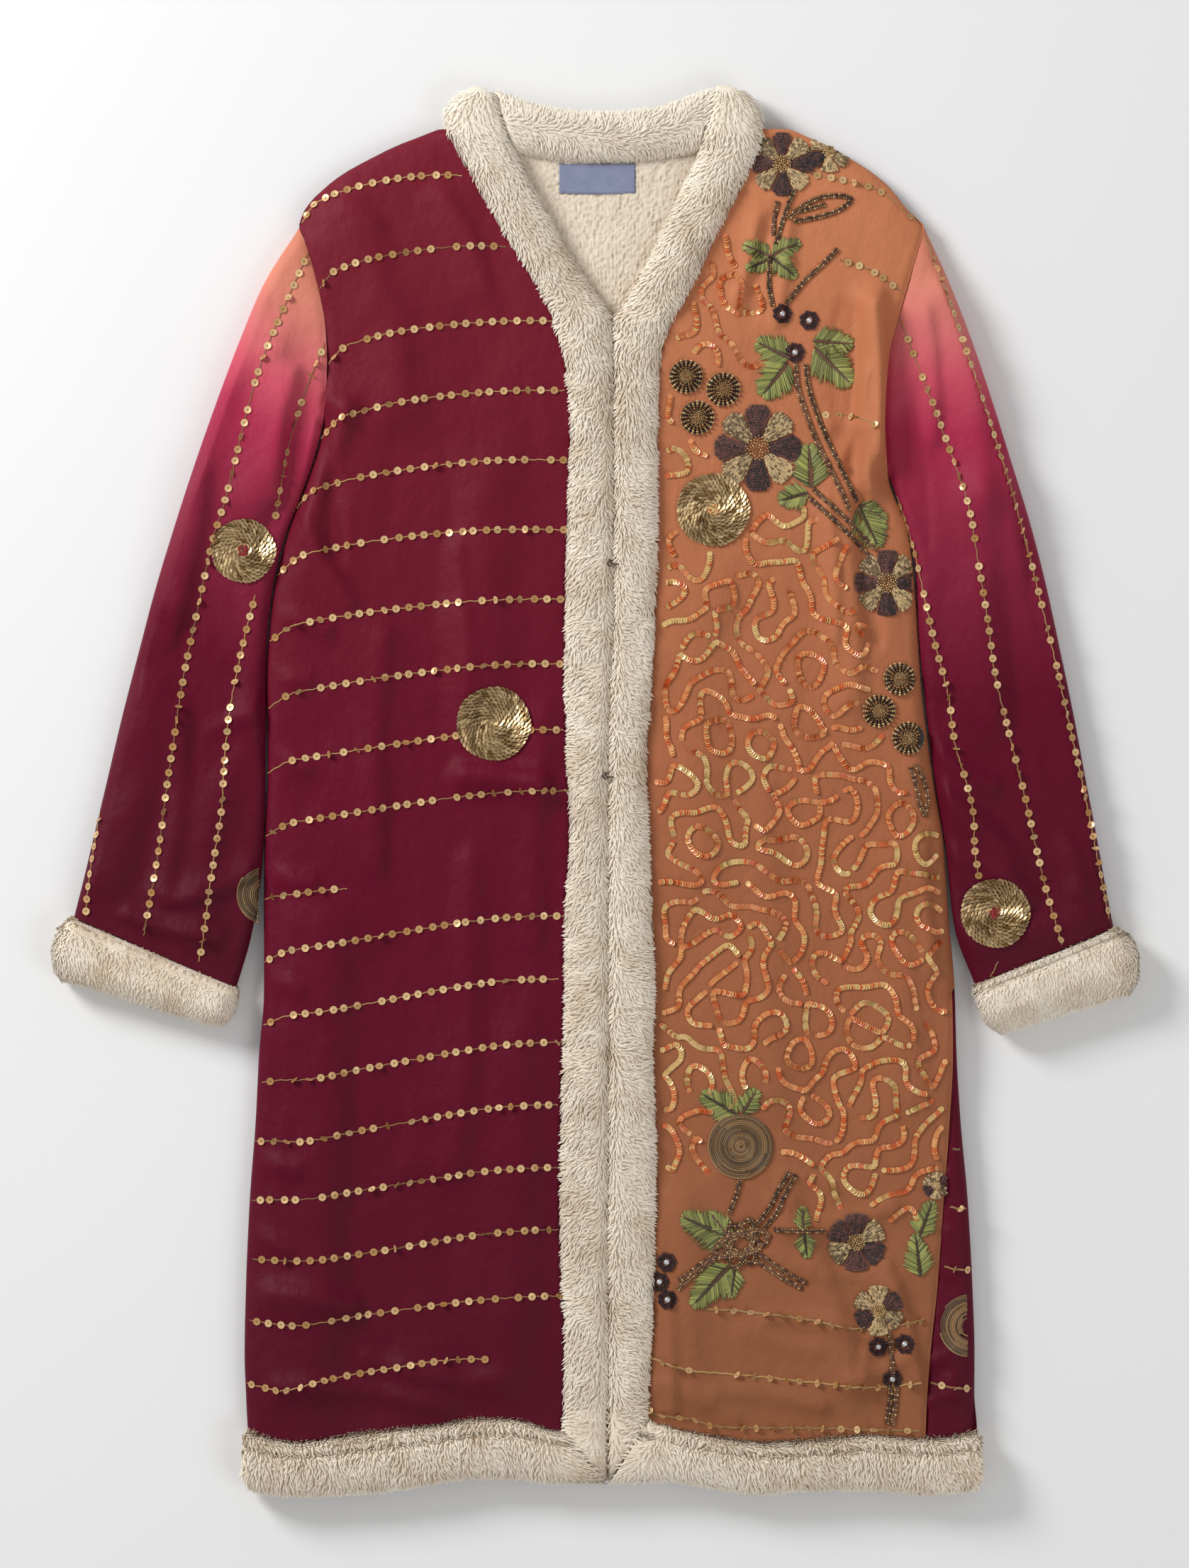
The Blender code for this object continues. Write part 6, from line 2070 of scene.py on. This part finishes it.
class COAT_OT_hooks(Operator):
    """The two fur hooks, fastened: an eye of wire with a hook through it."""

    bl_idname = "coat.hooks"
    bl_label = "Hooks"

    def execute(self, context):
        for name, y in HOOKS:
            centre, z = float(read(SECTIONS, "y", "neck_r", y)), HOOK_LEVEL
            turn = np.radians(np.linspace(28.0, 332.0, 26))
            eye = np.column_stack([centre - 2.3 + 2.3 * np.cos(turn), y + 2.3 * np.sin(turn),
                                   z + 0.5 + 0.3 * np.cos(turn)])
            shank = through([(centre + 4.2, y - 1.0, z), (centre + 1.0, y - 0.9, z + 1.6),
                             (centre - 1.6, y - 0.3, z + 2.1), (centre - 2.8, y + 0.4, z + 1.2),
                             (centre - 1.7, y + 0.9, z + 0.2)], 0.4)
            (points, faces), (more, others) = (tube(path, WIRE_RADIUS, 8) for path in (eye, shank))
            joined = [np.vstack([a, b + len(points)]) for a, b in zip(faces, others)]
            make(name + "_wire", np.vstack([points, more]), joined,
                 finish_of("wire", wire_finish), replaces=[name])
        return {"FINISHED"}


class COAT_OT_strings(Operator):
    """Strings of gold sequins on the front, the sleeves and the turned side."""

    bl_idname = "coat.strings"
    bl_label = "Sequin strings"

    def execute(self, context):
        c = cloths()
        rng = np.random.default_rng(12)
        rows_right = [row_places(row) for row in ROWS_RIGHT]
        sleeve_r, sleeve_l, outer, left, chains, turned = (
            [laid(row) for row in rows]
            for rows in (ROWS_SLEEVE_R, ROWS_SLEEVE_L, [ROW_SLEEVE_L_OUTER], ROWS_LEFT,
                         CHAINS_LEFT, CHAINS_TURNED))
        # A group: its cloth and rows, the share of sequins that stand on edge,
        # the distance between sequins and the thread's radius.
        jobs = {"right_front": [("right", rows_right, 0.16, 10.2, THREAD_RADIUS)],
                "right_sleeve": [("sleeve_r", sleeve_r, 0.16, 10.6, THREAD_RADIUS)],
                "left_sleeve": [("sleeve_l", sleeve_l, 0.14, 10.6, THREAD_RADIUS),
                                ("sleeve_l", outer, 0.75, 10.0, THREAD_RADIUS)],
                "left_front": [("left", left, 0.25, 10.0, THREAD_RADIUS),
                               ("left", chains, 1.0, 13.0, 0.85)],
                "turned_side": [("turned", turned, 0.6, 12.0, 0.8)]}
        for name, groups in jobs.items():
            sequins, threads = Scatter(), Scatter()
            for cloth_name, rows, *rest in groups:
                for places in rows:
                    string(sequins, threads, c[cloth_name], places, rng, *rest)
            sequins.build(name + "_sequins", look("gold_sequins"))
            threads.build(name + "_threads", look("string_thread"))
        return {"FINISHED"}


class COAT_OT_ribbons(Operator):
    """Meandering ribbons of small overlapping orange and gold sequins."""

    bl_idname = "coat.ribbons"
    bl_label = "Sequin ribbons"

    def execute(self, context):
        cloth = cloths()["left"]
        rng = np.random.default_rng(8)
        scales = Scatter()
        for path in ribbon_paths():
            spots = cloth.lay(path, 0.95)
            ups, way = cloth.slope(spots[:, 0], spots[:, 1]), runs(spots)
            own = np.clip(rng.normal(0.45, 0.34, len(path)), 0.0, 1.0)
            leant = tilted(ups, way, 0.36 + rng.normal(0.0, 0.20, len(path)))
            scales.stamp(sequin_shape(8, 0.0), spots, way, leant, RIBBON_RADIUS, own)
        scales.build("left_front_ribbons", look("orange_sequins"))
        return {"FINISHED"}


class COAT_OT_discs(Operator):
    """The discs of gold sequins and the coils of thread."""

    bl_idname = "coat.discs"
    bl_label = "Discs"

    def execute(self, context):
        c = cloths()
        rng = np.random.default_rng(15)
        for m in MOTIFS:
            if m.look == "coil":
                coil(m, c[m.cloth], rng)
            elif m.look in ("sequins", "red_centre", "orange_centre"):
                disc(m, c[m.cloth], rng)
        return {"FINISHED"}


class COAT_OT_flowers(Operator):
    """The flowers, with petals of thread round beaded centres."""

    bl_idname = "coat.flowers"
    bl_label = "Flowers"

    def execute(self, context):
        c = cloths()
        rng = np.random.default_rng(16)
        for m in [m for m in MOTIFS if m.petals] + SMALL_MOTIFS:
            petal_field(m, c[m.cloth], rng)
        return {"FINISHED"}


class COAT_OT_rosettes(Operator):
    """The bead rosettes and the small dark flowers with a crystal."""

    bl_idname = "coat.rosettes"
    bl_label = "Rosettes and small flowers"

    def execute(self, context):
        cloth = cloths()["left"]
        rng = np.random.default_rng(17)
        for group in ("rosette_chest", "rosette_side"):
            beads, tips, base = Scatter(), Scatter(), Scatter()
            found = [m for m in MOTIFS if m.node.startswith(group)]
            for m in found:
                rosette(m, cloth, rng, beads, tips)
                middle = cloth.lay([(m.x, m.y)], 0.9)
                base.stamp(sequin_shape(24, 0.0), middle, X_WAY,
                           cloth.slope(middle[:, 0], middle[:, 1]), m.radius * 0.92, 0.1)
            beads.build(group + "_spokes", look("bronze_beads"),
                        replaces=[m.node for m in found])
            tips.build(group + "_beads", look("gold_beads"))
            base.build(group + "_base", look("plum_thread"))
        petals, crystals = Scatter(), Scatter()
        for x, y in laid(SMALL_FLOWERS):
            small_flower(x, y, cloth, rng, petals, crystals)
        petals.build("small_flower_beads", look("plum_beads"))
        crystals.build("small_flower_crystals", look("crystals"))
        return {"FINISHED"}


class COAT_OT_stems(Operator):
    """Beaded stems, the beaded knot, and the leaves of green thread."""

    bl_idname = "coat.stems"
    bl_label = "Stems and leaves"

    def execute(self, context):
        cloth = cloths()["left"]
        rng = np.random.default_rng(18)
        beads, gold, cord = Scatter(), Scatter(), Scatter()
        for i, places in enumerate([laid(line) for line in STEMS] + knot_loops()):
            path = cloth.lay(through(places, 2.0), 1.0 + 0.7 * (i >= len(STEMS)))
            stem(path, cloth, rng, beads, gold, cord)
        beads.build("stem_beads", look("bronze_beads"))
        gold.build("stem_gold_beads", look("gold_beads"))
        cord.build("stem_threads", look("plum_thread"))
        stitches, ribs = Scatter(), Scatter()
        for leaf in LEAVES:
            leaf_halves(leaf, cloth, rng, stitches, ribs)
        stitches.build("leaf_stitches", look("green_thread"))
        ribs.build("leaf_ribs", look("plum_thread"))
        return {"FINISHED"}


class COAT_OT_stage(Operator):
    """A pale floor, soft studio light and a camera straight above."""

    bl_idname = "coat.stage"
    bl_label = "Stage"

    def execute(self, context):
        c = coat()
        half = 4.0
        corners = [(x * half, y * half, -0.0002) for x, y in ((-1, -1), (1, -1), (1, 1), (-1, 1))]
        mesh = bpy.data.meshes.new("floor")
        mesh.from_pydata(corners, [], [(0, 1, 2, 3)])
        mesh.materials.append(floor_finish())
        floor = bpy.data.objects.new("floor", mesh)
        context.scene.collection.objects.link(floor)
        world = bpy.data.worlds.new("studio")
        world.use_nodes = True
        background = world.node_tree.nodes["Background"].inputs
        background["Color"].default_value = (1.0, 1.0, 1.0, 1.0)
        background["Strength"].default_value = c.sky_light
        context.scene.world = world
        for name, at, size, power in (
                ("key_light", (-2.5, 1.9, 1.9), 1.3, c.key_light),
                ("fill_light", (2.2, -1.4, 2.8), 2.4, c.key_light * 0.25)):
            lamp = bpy.data.lights.new(name, "AREA")
            lamp.shape, lamp.size, lamp.energy = "DISK", size, power
            light = bpy.data.objects.new(name, lamp)
            light.location = at
            x, y, z = at
            light.rotation_euler = (math.atan2(math.hypot(x, y), z), 0.0, math.atan2(x, -y))
            context.scene.collection.objects.link(light)
        lens = bpy.data.cameras.new("above")
        lens.sensor_fit = "VERTICAL"
        lens.sensor_height = 24.0
        # The view's length is measured 15 mm over the table, on the coat.
        lens.lens = lens.sensor_height * (c.camera_height - 0.015) / c.view_height
        lens.clip_end = 30.0
        camera = bpy.data.objects.new("above", lens)
        camera.location = (-0.00085, 0.0045, c.camera_height)
        context.scene.collection.objects.link(camera)
        context.scene.camera = camera
        context.scene.view_settings.view_transform = "Standard"
        return {"FINISHED"}


def tint(name, description, default):
    """A colour setting, given in 0 to 255."""
    return FloatVectorProperty(name=name, description=description, size=3, default=default,
                               min=0.0, max=1.0, subtype="COLOR_GAMMA")


class CoatSettings(PropertyGroup):
    """Sizes and colours of the coat."""

    cloth_rows: IntProperty(name="Cloth rows", default=190, min=40,
                            description="Rows of points down a front")
    cloth_columns: IntProperty(name="Cloth columns", default=80, min=20,
                               description="Columns of points across a front")
    sleeve_rings: IntProperty(name="Sleeve rings", default=120, min=30,
                              description="Rings of points along a sleeve")
    fold_strength: FloatProperty(name="Fold strength", default=2.4, min=0.0, max=3.0,
                                 description="How strongly the folds of the cloth show")
    lock_spacing: FloatProperty(name="Lock spacing", default=0.00158, unit="LENGTH",
                                description="Distance between the fur's locks")
    lock_length: FloatProperty(name="Lock length", default=0.0085, unit="LENGTH",
                               description="Length of a lock of fur")
    ribbon_spacing: FloatProperty(name="Ribbon spacing", default=0.0155, unit="LENGTH",
                                  description="Distance between two ribbons of sequins")
    ribbon_pitch: FloatProperty(name="Ribbon pitch", default=0.0021, unit="LENGTH",
                                description="Distance between a ribbon's sequins")
    maroon_high: tint("Maroon, top", "Maroon silk at the shoulder", (0.46, 0.10, 0.165))
    maroon_mid: tint("Maroon, middle", "Maroon silk at the waist", (0.388, 0.016, 0.141))
    maroon_low: tint("Maroon, hem", "Maroon silk at the hem", (0.333, 0.030, 0.125))
    orange_high: tint("Orange, top", "Orange silk at the shoulder", (0.80, 0.50, 0.345))
    orange_mid: tint("Orange, middle", "Orange silk at the waist", (0.66, 0.40, 0.27))
    orange_low: tint("Orange, hem", "Orange silk at the hem", (0.58, 0.36, 0.24))
    ombre_high: tint("Ombre, top", "Sleeve silk under the shoulder", (0.84, 0.51, 0.43))
    fur_root: tint("Fur root", "Fur at the skin", (0.83, 0.73, 0.61))
    fur_tip: tint("Fur tip", "Fur at its tips", (0.99, 0.947, 0.875))
    # The deep colour of the lining is painted shade, between its curls.
    pile_deep_shade: tint("Pile, deep", "Lining between its curls", (0.82, 0.73, 0.62))
    pile_high: tint("Pile, high", "Lining on its curls", (0.93, 0.875, 0.80))
    sky_light: FloatProperty(name="Sky light", default=0.42, min=0.0,
                             description="Strength of the even light from all round")
    key_light: FloatProperty(name="Key light", default=104.0, min=0.0, unit="POWER",
                             description="Power of the light from the upper left")
    camera_height: FloatProperty(name="Camera height", default=4.0, unit="LENGTH",
                                 description="Height of the camera over the table")
    view_height: FloatProperty(name="View height", default=1.2498, unit="LENGTH",
                               description="Length of the table that the view shows")


STEPS = ("fronts", "back", "sleeves", "fur", "lining", "hooks", "strings", "ribbons",
         "discs", "flowers", "rosettes", "stems", "stage")


class COAT_PT_panel(Panel):
    """Lists the coat's settings and its steps in the sidebar."""

    bl_idname = "COAT_PT_panel"
    bl_label = "Fur-lined coat"
    bl_space_type = "VIEW_3D"
    bl_region_type = "UI"
    bl_category = "Coat"

    def draw(self, context):
        for name in CoatSettings.__annotations__:
            self.layout.prop(context.scene.fur_coat, name)
        for step in STEPS:
            self.layout.operator("coat." + step)


CLASSES = (CoatSettings, COAT_OT_fronts, COAT_OT_back, COAT_OT_sleeves, COAT_OT_fur,
           COAT_OT_lining, COAT_OT_hooks, COAT_OT_strings, COAT_OT_ribbons, COAT_OT_discs,
           COAT_OT_flowers, COAT_OT_rosettes, COAT_OT_stems, COAT_OT_stage, COAT_PT_panel)


def register():
    """Adds the settings, the steps and the panel."""
    for kind in CLASSES:
        bpy.utils.register_class(kind)
    bpy.types.Scene.fur_coat = PointerProperty(type=CoatSettings)


def unregister():
    """Takes them away again."""
    del bpy.types.Scene.fur_coat
    for kind in reversed(CLASSES):
        bpy.utils.unregister_class(kind)


def main():
    register()
    for step in STEPS:
        getattr(bpy.ops.coat, step)()


if __name__ == "__main__":
    main()
